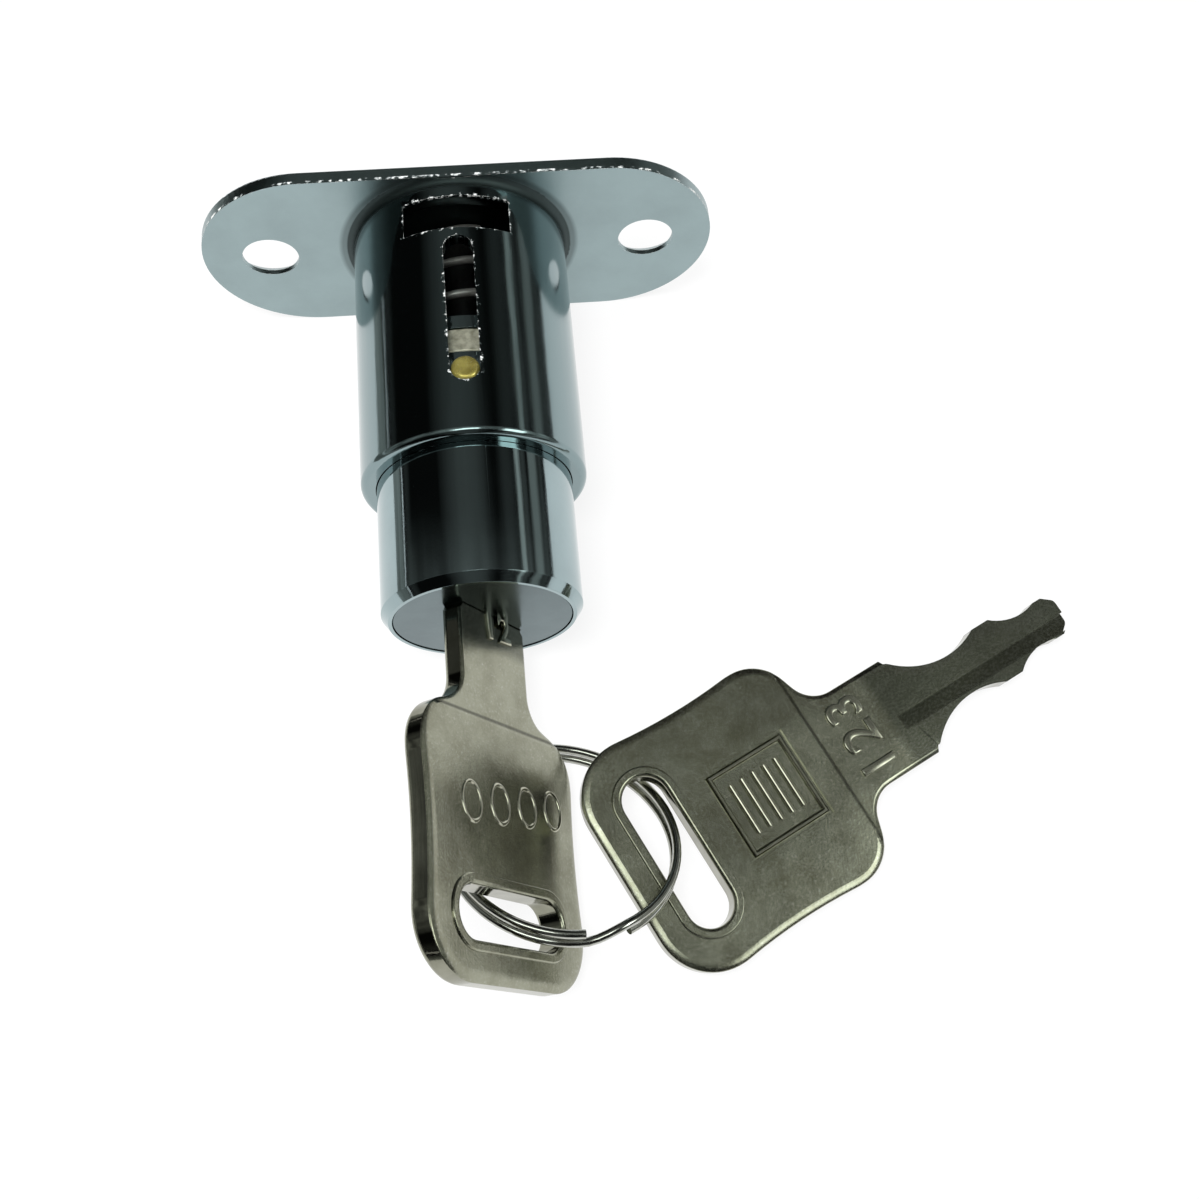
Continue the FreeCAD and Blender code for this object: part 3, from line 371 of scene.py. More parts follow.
@dataclass(frozen=True)
class CutBarrelFinish(MetalFinish):
    """Plated barrel with chipped openings, a satin flange with painted glints along its front lip, and
    painted shade in the corner between.

    An opening has a size for each of OPENING_SOCKETS. Sizes are in millimetres, from the flange's front face.
    """

    openings: Rows = ()
    chip_depth: float = 3.0
    chips_from: float = 10.7
    barrel: Colour = (0.25, 0.325, 0.335)
    flange_from: float = -1.2
    flange_roughness: float = 0.22
    # Band of the flange's front lip where near-white specks are painted as glints, and their scale.
    lip: tuple[float, float] = (0.02, 0.34)
    lip_scale: float = 1500.0
    # Colour of the painted shade in the corner where the barrel meets the flange; the next two set its reach
    # and its rougher finish.
    root_shade: Colour = (0.06, 0.08, 0.08)
    root_radius: float = 12.1
    root_roughness: float = 0.2

    def add_marks(self, surface: Surface) -> None:
        """Add the barrel's and the flange's marks.

        Args:
            surface: What the metal is like, to be changed.
        """
        graph = surface.graph
        place = graph.node("ShaderNodeTexCoord").outputs["Object"]
        parts = graph.node("ShaderNodeSeparateXYZ", {0: place}).outputs
        out = graph.vector(X=parts["X"], Z=parts["Z"])
        away = graph.node("ShaderNodeVectorMath", {0: out}, operation="LENGTH").outputs["Value"]
        skin = graph.ramp(away, (self.chips_from - 0.1) * MM, (self.chips_from + 0.1) * MM)
        for opening in self.openings:
            values = {title: size * MM for title, size in zip(OPENING_SOCKETS, opening)}
            chips = graph.times(graph.first("ShaderNodeGroup", values, node_tree=surface.marks.chipped), skin)
            # The chips take the near-white fleck colour: chipped plating, painted light enough to read as
            # glints on the rims.
            surface.bare_and_glints = graph.math("MAXIMUM", surface.bare_and_glints, chips)
            surface.height = graph.plus(surface.height, graph.times(chips, self.chip_depth))
        # Painted glints: near-white specks along the flange's front lip, for the sparkle of its rounded edge.
        front, rear = (edge * MM for edge in self.lip)
        behind = graph.ramp(parts["Y"], front, front + 0.00004)
        lip = graph.times(behind, graph.ramp(parts["Y"], rear, rear - 0.00006))
        lip_glints = graph.times(lip, graph.ramp(parts["Z"], *TOP))
        crumbs = graph.ramp(graph.noise(place, self.lip_scale, 3.0, 0.6), 0.51, 0.62)
        surface.bare_and_glints = graph.math("MAXIMUM", surface.bare_and_glints, graph.times(lip_glints, crumbs))
        flange = graph.ramp(parts["Y"], self.flange_from * MM, (self.flange_from + 0.4) * MM)
        # Painted shade: the flange's face is darkened and roughened round the barrel's root.
        near = graph.ramp(away, (self.root_radius + 0.5) * MM, self.root_radius * MM)
        root_shade = graph.times(graph.times(flange, near), graph.ramp(parts["Y"], 0.00002, -0.00002))
        surface.colour = graph.mix(flange, rgba(self.barrel), surface.colour)
        surface.colour = graph.mix(root_shade, surface.colour, rgba(self.root_shade))
        satin = graph.plus(graph.times(flange, self.flange_roughness), graph.times(root_shade, self.root_roughness))
        surface.roughness = graph.plus(surface.roughness, satin)


@dataclass(frozen=True)
class KeyFinish(MetalFinish):
    """Key metal with painted shade: darker towards the blade, and darker in its groove and at the stem's
    step.

    Places are in millimetres on the key's plan.
    """

    step_at: float = 7.28
    # Strength of the shade painted in the crease at the stem's step.
    step_shade: float = 0.75
    # Where the painted shade towards the blade begins, and its colour.
    shade_from: float = 14.0
    painted_light_and_marks: Colour = (0.15, 0.155, 0.12)
    groove_from: float = 15.6
    groove_middle: float = -1.05
    groove_half: float = 0.85
    groove_shade: float = 0.7
    # Colour of the shade painted in the step's crease and on the groove's floor.
    crease_shade: Colour = (0.035, 0.035, 0.022)

    def add_marks(self, surface: Surface) -> None:
        """Add the painted shade: towards the blade, in the groove and at the step.

        Args:
            surface: What the metal is like, to be changed.
        """
        graph = surface.graph
        plan = graph.first("ShaderNodeUVMap", uv_map=KEY_PLAN)
        scaled = graph.first("ShaderNodeVectorMath", {0: plan, 3: 1.0 / PLAN_SCALE}, operation="SCALE")
        parts = graph.node("ShaderNodeSeparateXYZ", {0: scaled}).outputs
        along, across = parts["X"], parts["Y"]
        # Painted shade: stem and blade are painted darker, for the lock's dark reflection and shadow on the
        # inserted key; the spare key gets the same.
        blade_shade = graph.ramp(along, self.shade_from, self.shade_from + 1.2)
        surface.colour = graph.mix(blade_shade, surface.colour, rgba(self.painted_light_and_marks))
        # Painted shade: dark lines in the crease at the stem's step and on the groove's floor.
        step = graph.times(graph.ramp(graph.apart(along, self.step_at), 0.26, 0.07), self.step_shade)
        inside = graph.ramp(graph.apart(across, self.groove_middle), self.groove_half, self.groove_half - 0.2)
        groove = graph.times(inside, graph.ramp(along, self.groove_from, self.groove_from + 0.2))
        crease_darkness = graph.math("MAXIMUM", step, graph.times(groove, self.groove_shade))
        surface.colour = graph.mix(crease_darkness, surface.colour, rgba(self.crease_shade))


class Finish(Enum):
    """Finishes on the lock and its keys."""

    CHROME = CutBarrelFinish(
        "mirror_chrome", (0.33, 0.42, 0.43), (0.27, 0.34, 0.35), 0.09, 0.05, 0.5, 150.0, 1500.0, 0.5,
        grit_depth=0.12, bump=0.000012, openings=((-15.0, 0.0, 6.7, 1.45), (-4.0, 5.2, 1.9, 0.0)),
    )
    CYLINDER_CHROME = MetalFinish(
        "cylinder_chrome", (0.34, 0.43, 0.445), (0.28, 0.35, 0.36), 0.05, 0.05, 0.4, 200.0, 1500.0, 0.5,
        dent_depth=0.2,
    )
    # Painted shade: the plug's face is chrome given a darker colour for the shadow and dark reflections that
    # fall on it.
    SHADED_FACE_CHROME = MetalFinish(
        "shaded_face_chrome", (0.14, 0.185, 0.195), (0.10, 0.135, 0.145), 0.14, 0.08, 0.5, 220.0, 1500.0, 0.5,
    )
    # Rounded edges of the housing, strewn with flecks painted near white as glints.
    CHROME_EDGE = MetalFinish(
        "chrome_edge", (0.20, 0.24, 0.24), (0.04, 0.05, 0.05), 0.20, 0.10, 0.6, 1400.0, 2600.0, 1.0,
        grit_scale=2600.0, grit_depth=1.0, dent_depth=0.5, bump=0.00004, flecks=1.0,
    )
    NICKEL = KeyFinish(
        "key_nickel", (0.315, 0.32, 0.245), (0.17, 0.165, 0.11), 0.20, 0.06, 0.5, 330.0, 2600.0, 0.3,
        grit_scale=4200.0, grit_depth=0.4, dent_depth=0.7, bump=0.000014, flecks=0.04,
    )
    KEY_WALL = MetalFinish(
        "key_wall", (0.30, 0.30, 0.24), (0.15, 0.15, 0.11), 0.07, 0.05, 0.5, 500.0, 3000.0, 0.4,
    )
    RUBBED = MetalFinish(
        "rubbed_nickel", (0.46, 0.46, 0.37), (0.30, 0.29, 0.22), 0.15, 0.06, 0.4, 700.0, 3000.0, 0.3,
    )
    RING = MetalFinish(
        "ring_wire", (0.50, 0.51, 0.47), (0.26, 0.25, 0.20), 0.10, 0.10, 0.5, 700.0, 2500.0, 0.4,
    )
    BRASS = MetalFinish(
        "pin_brass", (0.62, 0.54, 0.15), (0.30, 0.24, 0.05), 0.24, 0.14, 0.8, 900.0, 3000.0, 0.5,
        grit_depth=0.8, metallic=0.8,
    )
    PLATE = MetalFinish(
        "plate_metal", (0.62, 0.62, 0.49), (0.22, 0.21, 0.14), 0.34, 0.15, 0.8, 1500.0, 3500.0, 1.2,
        grit_depth=0.8, metallic=0.75,
    )
    # Painted shade: the steel pins inside the lock are painted nearly black for the dark inside of the barrel
    # and plug.
    SHADED_STEEL = MetalFinish("shaded_steel", (0.05, 0.05, 0.05), (0.03, 0.03, 0.03), 0.34, 0.12, 0.4)
    SPRING = MetalFinish(
        "spring_wire", (0.30, 0.31, 0.29), (0.14, 0.14, 0.12), 0.30, 0.12, 0.6, 900.0, metallic=0.8,
    )
    WAFER = MetalFinish("wafer_brass", (0.68, 0.52, 0.22), (0.42, 0.30, 0.12), 0.30, 0.12, 0.4, 900.0)


# Meshes


def add_object(name: str, data: bpy.types.ID) -> Piece:
    """Return a new object at the origin, for a mesh, text, light or camera."""
    made = bpy.data.objects.new(name, data)
    bpy.context.scene.collection.objects.link(made)
    return made


def bake_modifiers(piece: Piece) -> None:
    """Turn a piece with its modifiers into a plain mesh.

    Args:
        piece: The piece.
    """
    graph = bpy.context.evaluated_depsgraph_get()
    made = piece.evaluated_get(graph)
    mesh = bpy.data.meshes.new_from_object(made, preserve_all_data_layers=True, depsgraph=graph)
    piece.modifiers.clear()
    piece.data = mesh


def paint(piece: Piece, material: Material) -> None:
    """Give a whole piece one material."""
    piece.data.materials.clear()
    piece.data.materials.append(material)


def smooth(mesh: Mesh, angle: float = 30.0) -> None:
    """Shade a mesh smooth up to edges sharper than an angle in degrees."""
    mesh.polygons.foreach_set("use_smooth", [True] * len(mesh.polygons))
    mesh.set_sharp_from_angle(angle=math.radians(angle))


def add_skin(name: str, skin: Skin) -> Piece:
    """Put a finished skin in the scene.

    Args:
        name: The new piece's name.
        skin: The skin, which ends here.

    Returns:
        The new piece.
    """
    mesh = bpy.data.meshes.new(name)
    skin.to_mesh(mesh)
    skin.free()
    return add_object(name, mesh)


def joined_skin(name: str, node: str, reshape: Callable[[Skin], None] | None) -> Piece:
    """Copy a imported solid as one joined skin.

    Args:
        name: The new piece's name.
        node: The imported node's name.
        reshape: Changes the skin before its flat faces are made whole, or None.

    Returns:
        The new piece.
    """
    skin = bmesh.new()
    skin.from_mesh(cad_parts[node].data)
    bmesh.ops.remove_doubles(skin, verts=skin.verts, dist=WELD)
    bmesh.ops.dissolve_degenerate(skin, edges=skin.edges, dist=WELD)
    if reshape:
        reshape(skin)
    bmesh.ops.dissolve_limit(skin, angle_limit=FLAT, verts=skin.verts, edges=skin.edges)
    piece = add_skin(name, skin)
    smooth(piece.data)
    return piece


def round_edges(piece: Piece, width: float, slot: int) -> None:
    """Round a piece's sharp edges.

    Args:
        piece: The piece.
        width: The rounding's width in millimetres.
        slot: The rounding's material slot, or -1 for that of the faces beside it.
    """
    bevel = piece.modifiers.new("rounded", "BEVEL")
    bevel.width = width * MM
    bevel.segments = 2
    bevel.limit_method = "ANGLE"
    bevel.angle_limit = SHARP
    bevel.use_clamp_overlap = True
    bevel.miter_outer = "MITER_ARC"
    bevel.material = slot
    flatten = piece.modifiers.new("flat_faces", "WEIGHTED_NORMAL")
    flatten.keep_sharp = True
    flatten.weight = 80
    for _ in range(slot + 1):
        piece.data.materials.append(None)
    bake_modifiers(piece)


def wound_group(name: str, split: bool) -> Tree:
    """Build the tree that winds a round wire about Z.

    Args:
        name: The tree's name.
        split: Two flat turns with a short step, where a plain coil rises evenly.

    Returns:
        The tree.
    """
    inputs = {
        "Turns": 2.0, "Start Radius": 0.01, "End Radius": 0.01, "Height": 0.01, "Wire Radius": 0.0004,
        "Start Angle": 0.0, "Step Angle": 0.0, "Points": 160, "Finish": None,
    }
    graph, given = new_group(name, "GeometryNodeTree", inputs, {"Geometry": "Geometry"})
    line = graph.first("GeometryNodeMeshLine", {"Count": given["Points"]})
    index = graph.first("GeometryNodeInputIndex")
    share = graph.over(index, graph.minus(given["Points"], 1.0))
    sweep = graph.minus(graph.times(given["Turns"], 2 * math.pi), given["Step Angle"])
    turned = graph.times(share, sweep)
    angle = graph.plus(turned, given["Start Angle"])
    growth = graph.minus(given["End Radius"], given["Start Radius"])
    radius = graph.plus(given["Start Radius"], graph.times(growth, share))
    if split:
        flat = graph.minus(2 * math.pi, given["Step Angle"])
        into = graph.over(graph.minus(turned, flat), given["Step Angle"])
        step = graph.first("ShaderNodeMapRange", {"Value": into}, interpolation_type="SMOOTHSTEP")
        rise = graph.times(given["Height"], graph.minus(step, 0.5))
    else:
        rise = graph.times(given["Height"], share)
    x, y = (graph.times(radius, graph.math(part, angle)) for part in ("COSINE", "SINE"))
    place = graph.vector(X=x, Y=y, Z=rise)
    path = graph.first("GeometryNodeSetPosition", {"Geometry": line, "Position": place})
    curve = graph.first("GeometryNodeMeshToCurve", {"Mesh": path})
    return graph.finish(graph.tube(curve, 20, given["Wire Radius"]), given["Finish"])


def ribbed_panel_group() -> Tree:
    """Build the tree of a square frame with upright ribs inside it, both of round section.

    Returns:
        The tree.
    """
    inputs = {
        "Side": 0.008, "Ribs": 6, "Rib Length": 0.005, "Frame Radius": 0.0004, "Line Radius": 0.0002,
        "Finish": None,
    }
    graph, given = new_group("ribbed_panel", "GeometryNodeTree", inputs, {"Geometry": "Geometry"})
    sides = {"Width": given["Side"], "Height": given["Side"]}
    square = graph.first("GeometryNodeCurvePrimitiveQuadrilateral", sides)
    frame_line = graph.tube(square, 10, given["Frame Radius"])
    half = graph.times(given["Rib Length"], 0.5)
    back = graph.times(half, -1.0)
    ends = {"Start": graph.vector(Y=back), "End": graph.vector(Y=half)}
    rib_line = graph.first("GeometryNodeCurvePrimitiveLine", ends)
    rib = graph.tube(rib_line, 10, given["Line Radius"])
    pitch = graph.over(given["Rib Length"], graph.minus(given["Ribs"], 1.0))
    spread = {"Count": given["Ribs"], "Start Location": graph.vector(X=back), "Offset": graph.vector(X=pitch)}
    row = graph.first("GeometryNodeMeshLine", spread)
    ribs = graph.first("GeometryNodeInstanceOnPoints", {"Points": row, "Instance": rib})
    joined = graph.node("GeometryNodeJoinGeometry")
    for source in (frame_line, ribs):
        graph.tree.links.new(source, joined.inputs[0])
    return graph.finish(joined.outputs[0], given["Finish"])


def row_of_zeros_group() -> Tree:
    """Build the tree of a row of struck zeros: oval rings of round section along X.

    Returns:
        The tree.
    """
    inputs = {
        "Count": 4, "Pitch": 0.004, "Width": 0.0025, "Height": 0.004, "Stroke": 0.00025, "Finish": None,
    }
    graph, given = new_group("row_of_zeros", "GeometryNodeTree", inputs, {"Geometry": "Geometry"})
    circle = graph.first("GeometryNodeCurvePrimitiveCircle", {"Resolution": 40, "Radius": 0.5})
    oval = graph.vector(X=given["Width"], Y=given["Height"], Z=1.0)
    path = graph.first("GeometryNodeTransform", {"Geometry": circle, "Scale": oval})
    zero = graph.tube(path, 12, given["Stroke"])
    steps = graph.minus(given["Count"], 1.0)
    start = graph.times(graph.times(steps, given["Pitch"]), -0.5)
    step = graph.vector(X=given["Pitch"])
    spread = {"Count": given["Count"], "Start Location": graph.vector(X=start), "Offset": step}
    row = graph.first("GeometryNodeMeshLine", spread)
    zeros = graph.first("GeometryNodeInstanceOnPoints", {"Points": row, "Instance": zero})
    return graph.finish(zeros, given["Finish"])


def run_group(name: str, tree: Tree, values: dict[str, Any], finish: Material, pose: Matrix) -> Piece:
    """Make a piece from a geometry tree.

    Args:
        name: The piece's name.
        tree: The geometry tree.
        values: Input name to value, lengths in metres.
        finish: The piece's material.
        pose: Where the finished mesh goes.

    Returns:
        The new piece, with a plain mesh.
    """
    piece = add_object(name, bpy.data.meshes.new(name))
    modifier = piece.modifiers.new("made", "NODES")
    modifier.node_group = tree
    values = values | {"Finish": finish}
    for item in tree.interface.items_tree:
        if item.in_out == "INPUT":
            modifier[item.identifier] = values[item.name]
    bake_modifiers(piece)
    piece.data.transform(pose)
    smooth(piece.data, 50.0)
    return piece


@dataclass(frozen=True)
class Wire:
    """Wound wire in millimetres and degrees: a split ring where it has a step, and else a coil."""

    turns: float
    start_radius: float
    end_radius: float
    height: float
    wire_radius: float
    start_angle: float = 0.0
    step_angle: float = 0.0

    def values(self) -> dict[str, Any]:
        """Return the geometry tree's sizes."""
        return {
            "Turns": self.turns,
            "Start Radius": self.start_radius * MM,
            "End Radius": self.end_radius * MM,
            "Height": self.height * MM,
            "Wire Radius": self.wire_radius * MM,
            "Start Angle": math.radians(self.start_angle),
            "Step Angle": math.radians(self.step_angle),
            "Points": int(self.turns * STEPS_PER_TURN) + 1,
        }


class Workshop:
    """What every sub-assembly's making shares."""

    def __init__(self) -> None:
        """Build the shared marks and the geometry trees."""
        self.marks = Marks(handled_metal_group(), chipped_rim_group())
        self.made: dict[Finish, Material] = {}
        self.coil = wound_group("wound_coil", split=False)
        self.split_ring = wound_group("split_ring", split=True)
        self.panel = ribbed_panel_group()
        self.zeros = row_of_zeros_group()

    def material(self, finish: Finish) -> Material:
        """Return a finish's material, built at its first use."""
        if finish not in self.made:
            self.made[finish] = finish.value.material(self.marks)
        return self.made[finish]

    def dress(
        self, node: str, finish: Finish, width: float, body: str,
        edge: Finish | None = None, reshape: Callable[[Skin], None] | None = None,
    ) -> Piece:
        """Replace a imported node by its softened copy.

        Args:
            node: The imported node's name.
            finish: The finish of its faces.
            width: The rounding of its edges in millimetres.
            body: The body that it rides on.
            edge: The finish of its rounded edges, or None for that of the faces.
            reshape: Changes its joined skin first.

        Returns:
            The new piece.
        """
        piece = joined_skin(f"{node}_shell", node, reshape)
        round_edges(piece, width, 1 if edge else -1)
        if edge:
            piece.data.materials[0] = self.material(finish)
            piece.data.materials[1] = self.material(edge)
        else:
            paint(piece, self.material(finish))
        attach(piece, body)
        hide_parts(node)
        log.info("%s: %d faces", piece.name, len(piece.data.polygons))
        return piece

    def wind(self, name: str, wire: Wire, pose: Matrix, finish: Finish, body: str) -> Piece:
        """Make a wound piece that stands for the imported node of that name.

        Args:
            name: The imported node's name.
            wire: How it is wound.
            pose: Where its axis goes, as +Z.
            finish: The wire's finish.
            body: The body that it rides on.

        Returns:
            The new piece.
        """
        tree = self.split_ring if wire.step_angle else self.coil
        piece = run_group(f"{name}_wire", tree, wire.values(), self.material(finish), pose)
        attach(piece, body)
        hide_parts(name)
        log.info("%s: %d faces", piece.name, len(piece.data.polygons))
        return piece


def moved(place: Place) -> Matrix:
    """Return the move to a place in millimetres."""
    return Matrix.Translation(Vector(place) * MM)


def turned(degrees: float, axis: Any = "Z") -> Matrix:
    """Return the turn about an axis."""
    return Matrix.Rotation(math.radians(degrees), 4, axis)


def axes(origin: Place, x: Vector, y: Vector, z: Vector) -> Matrix:
    """Return the pose with three axes about an origin in millimetres."""
    return moved(origin) @ Matrix((x, y, z)).transposed().to_4x4()


# The lock


@dataclass
class LockBody:
    """Barrel with flange, push cylinder and what they carry."""

    shop: Workshop
    spring_seat: float = 0.3
    spring: Wire = Wire(3, 4.35, 7.4, 14.0, 0.4, 60.0)
    plate_at: float = 17.8
    plate_foot: float = 8.5
    plate_spring: Wire = Wire(4, 0.9, 0.9, 3.56, 0.17)

    def build(self) -> None:
        """Dress every piece of the lock."""
        shop = self.shop
        shop.dress("housing", Finish.CHROME, 0.2, "barrel", Finish.CHROME_EDGE)
        shop.dress("push_cylinder", Finish.CYLINDER_CHROME, 0.12, "cylinder")
        shop.dress("bolt_pin", Finish.SHADED_STEEL, 0.06, "cylinder")
        shop.dress("guide_pin", Finish.BRASS, 0.05, "cylinder")
        shop.dress("locking_plate", Finish.PLATE, 0.12, "plate")
        self.build_springs()

    def build_springs(self) -> None:
        """Wind the return spring, which the cylinder presses flat, and the plate's spring."""
        small_end = -self.spring_seat - self.spring.wire_radius
        pose = axes((0, small_end, 0), Vector((1, 0, 0)), Vector((0, 0, 1)), Vector((0, -1, 0)))
        spring = self.shop.wind("return_spring", self.spring, pose, Finish.SPRING, "barrel")
        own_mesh(spring)
        low_end = -self.plate_foot + self.plate_spring.wire_radius
        foot = moved((0, -self.plate_at, low_end))
        coil = self.shop.wind("locking_plate_spring", self.plate_spring, foot, Finish.SPRING, "cylinder")
        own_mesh(coil)


@dataclass
class Plug:
    """Turning plug with its clip, drive pin, wafers and their springs."""

    shop: Workshop
    turn: float = PLUG_TURN
    wafer_first_at: float = 38.6
    wafer_pitch: float = 3.1
    wafers: int = 5
    spring_start: float = -1.25
    spring_across: float = 2.85
    spring: Wire = Wire(4, 0.42, 0.42, 2.92, 0.09)

    def build(self) -> None:
        """Dress the plug and what turns with it."""
        shop = self.shop
        shop.dress("plug", Finish.SHADED_FACE_CHROME, 0.08, "plug_core")
        shop.dress("plug_clip", Finish.SPRING, 0.04, "plug_core")
        shop.dress("drive_pin", Finish.SHADED_STEEL, 0.05, "plug_core")
        for number in range(1, self.wafers + 1):
            shop.dress(f"wafer_{number}", Finish.WAFER, 0.04, f"wafer_{number}_body")
            self.build_spring(number)

    def build_spring(self, number: int) -> None:
        """Wind the small coil between the plug's ledge and one wafer.

        Args:
            number: The wafer's number.
        """
        angle = math.radians(self.turn)
        side = 1 if number % 2 else -1
        along = Vector((math.cos(angle), 0, -math.sin(angle)))
        across = Vector((-math.sin(angle), 0, -math.cos(angle)))
        start = along * side * (self.spring_start + self.spring.wire_radius) + across * self.spring_across
        start.y = -self.wafer_first_at + (number - 1) * self.wafer_pitch
        lead = along * side
        pose = axes(start[:], across, lead.cross(across), lead)
        self.shop.wind(f"wafer_spring_{number}", self.spring, pose, Finish.SPRING, "plug_core")


# The keys and their ring


@dataclass
class Number:
    """A plain number struck on a key, in millimetres and degrees in the key's own frame."""

    digits: str
    at: Place
    turn: float
    size: float
    spacing: float = 1.25
    depth: float = 0.10
    rounding: float = 0.14


@dataclass
class DoorKey:
    """One key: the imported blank, softened, with its struck marks.

    Places are in millimetres in the key's own frame: its tip is at +X and the face that shows at +Z.
    """

    shop: Workshop
    node: str
    body: str
    pose: Matrix
    numbers: tuple[Number, ...] = ()
    zeros_at: Place | None = None
    zeros_turn: float = -84.0
    zeros: int = 4
    zero_width: float = 2.7
    zero_height: float = 3.5
    zero_pitch: float = 4.3
    stroke: float = 0.26
    panel: bool = False
    panel_side: float = 8.2
    panel_floor: float = 0.85
    rib_count: int = 5
    rib_length: float = 5.2
    rib_radius: float = 0.36
    frame_radius: float = 0.42
    face: float = 1.15
    stem_face: float = 1.0
    stem_from: float = 7.2
    shoulder_at: float = 17.8
    edge_round: float = 0.75
    edge_drop: float = 0.30
    edge_reach: float = 1.15
    wall_lean: float = 0.25
    hole_at: float = -10.4
    hole_reach: tuple[float, float] = (3.45, 8.95)
    pad_reach: float = 4.8
    groove_reach: tuple[float, float] = (16.5, 2.4)

    def build(self) -> None:
        """Dress the blank and strike its marks."""
        piece = self.shop.dress(self.node, Finish.NICKEL, 0.06, self.body, reshape=self.flatten_edge)
        self.add_plan(piece.data)
        self.polish_walls(piece.data)
        for index, number in enumerate(self.numbers, 1):
            self.strike_number(f"number_{index}", number)
        if self.zeros_at:
            self.strike_zeros()
        if self.panel:
            self.strike_panel()

    def flatten_edge(self, skin: Skin) -> None:
        """Turn the round of the outline on the face that shows into a low slope with a crisp corner.

        Args:
            skin: The blank's joined skin.
        """
        skin.normal_update()
        to_key = self.pose.inverted()
        turn = self.pose.to_3x3()
        moves = []
        for vert in skin.verts:
            place = to_key @ vert.co / MM
            if not self.is_on_edge(place):
                continue
            x, _, z = place
            top = self.stem_face if x > self.stem_from + 0.01 else self.face
            share = (z - self.face + self.edge_round) / self.edge_round
            inward = self.edge_round * (1.0 - math.sqrt(max(0.0, 1.0 - min(1.0, share) ** 2)))
            out = turn.inverted() @ vert.normal
            out.z = 0.0
            drop = (top - z) * (1.0 - self.edge_drop / self.edge_round)
            shift = Vector((0, 0, drop))
            if out.length > 1e-3:
                shift -= out.normalized() * inward * (self.edge_reach / self.edge_round - 1.0)
            moves.append((vert, turn @ shift * MM))
        for vert, shift in moves:
            vert.co += shift

    def is_on_edge(self, place: Vector) -> bool:
        """Tell whether a place is on the round of the outline, clear of hole, square and groove.

        Args:
            place: The place in millimetres in the key's own frame.

        Returns:
            Whether it is.
        """
        x, y, z = place
        in_hole = abs(x - self.hole_at) < self.hole_reach[0] and abs(y) < self.hole_reach[1]
        in_square = abs(x) < self.pad_reach and abs(y) < self.pad_reach
        in_groove = x > self.groove_reach[0] and abs(y) < self.groove_reach[1]
        in_round = self.face - self.edge_round - 1e-3 < z < self.face + 1e-3 and x < self.shoulder_at - 0.01
        return in_round and not (in_hole or in_square or in_groove)

    def polish_walls(self, mesh: Mesh) -> None:
        """Give the blank's sheared walls their own, smoother finish.

        Args:
            mesh: The blank's mesh.
        """
        mesh.materials.append(self.shop.material(Finish.KEY_WALL))
        face = self.pose.to_3x3().col[2]
        for polygon in mesh.polygons:
            if abs(polygon.normal.dot(face)) < self.wall_lean:
                polygon.material_index = 1

    def add_plan(self, mesh: Mesh) -> None:
        """Lay the key's own plan over both its faces.

        Args:
            mesh: The blank's mesh.
        """
        plan = mesh.uv_layers.new(name=KEY_PLAN)
        to_key = self.pose.inverted()
        for loop in mesh.loops:
            x, y, z = to_key @ mesh.vertices[loop.vertex_index].co / MM * PLAN_SCALE
            plan.uv[loop.index].vector = (x, y if z > 0.0 else -y)

    def add(self, name: str, piece: Piece, at: Matrix) -> None:
        """Place a struck mark on the key.

        Args:
            name: The mark's name.
            piece: The mark.
            at: Where it goes, in the key's own frame.
        """
        piece.name = f"{self.node}_{name}"
        piece.data.transform(self.pose @ at)
        smooth(piece.data, 40.0)
        paint(piece, self.shop.material(Finish.RUBBED))
        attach(piece, self.body)
        log.info("%s: %d faces", piece.name, len(piece.data.polygons))

    def strike_number(self, name: str, number: Number) -> None:
        """Raise a plain number from the face.

        Args:
            name: The mark's name.
            number: What is struck, and where.
        """
        curve = bpy.data.curves.new(name, "FONT")
        curve.body = number.digits
        curve.size = number.size * MM
        curve.space_character = number.spacing
        curve.align_x = "CENTER"
        curve.align_y = "CENTER"
        curve.extrude = number.depth * MM
        curve.bevel_depth = number.rounding * MM
        curve.bevel_resolution = 3
        text = add_object(name, curve)
        graph = bpy.context.evaluated_depsgraph_get()
        mesh = bpy.data.meshes.new_from_object(text.evaluated_get(graph), depsgraph=graph)
        bpy.data.objects.remove(text)
        skin = bmesh.new()
        skin.from_mesh(mesh)
        bmesh.ops.remove_doubles(skin, verts=skin.verts, dist=WELD)
        bmesh.ops.recalc_face_normals(skin, faces=skin.faces)
        bpy.data.meshes.remove(mesh)
        self.add(name, add_skin(name, skin), moved(number.at) @ turned(number.turn))

    def strike(self, tree: Tree, name: str, values: dict[str, Any], at: Matrix) -> None:
        """Strike the mark that a geometry tree makes, at its place in the key's own frame."""
        finish = self.shop.material(Finish.RUBBED)
        self.add(name, run_group(name, tree, values, finish, Matrix.Identity(4)), at)

    def strike_zeros(self) -> None:
        """Raise the key's row of plain zeros from the face."""
        values = {
            "Count": self.zeros,
            "Pitch": self.zero_pitch * MM,
            "Width": self.zero_width * MM,
            "Height": self.zero_height * MM,
            "Stroke": self.stroke * MM,
        }
        self.strike(self.shop.zeros, "zeros", values, moved(self.zeros_at) @ turned(self.zeros_turn))

    def strike_panel(self) -> None:
        """Raise a frame and plain ribs in the sunk square."""
        values = {
            "Side": self.panel_side * MM,
            "Ribs": self.rib_count,
            "Rib Length": self.rib_length * MM,
            "Frame Radius": self.frame_radius * MM,
            "Line Radius": self.rib_radius * MM,
        }
        self.strike(self.shop.panel, "panel", values, moved((0, 0, self.panel_floor)))


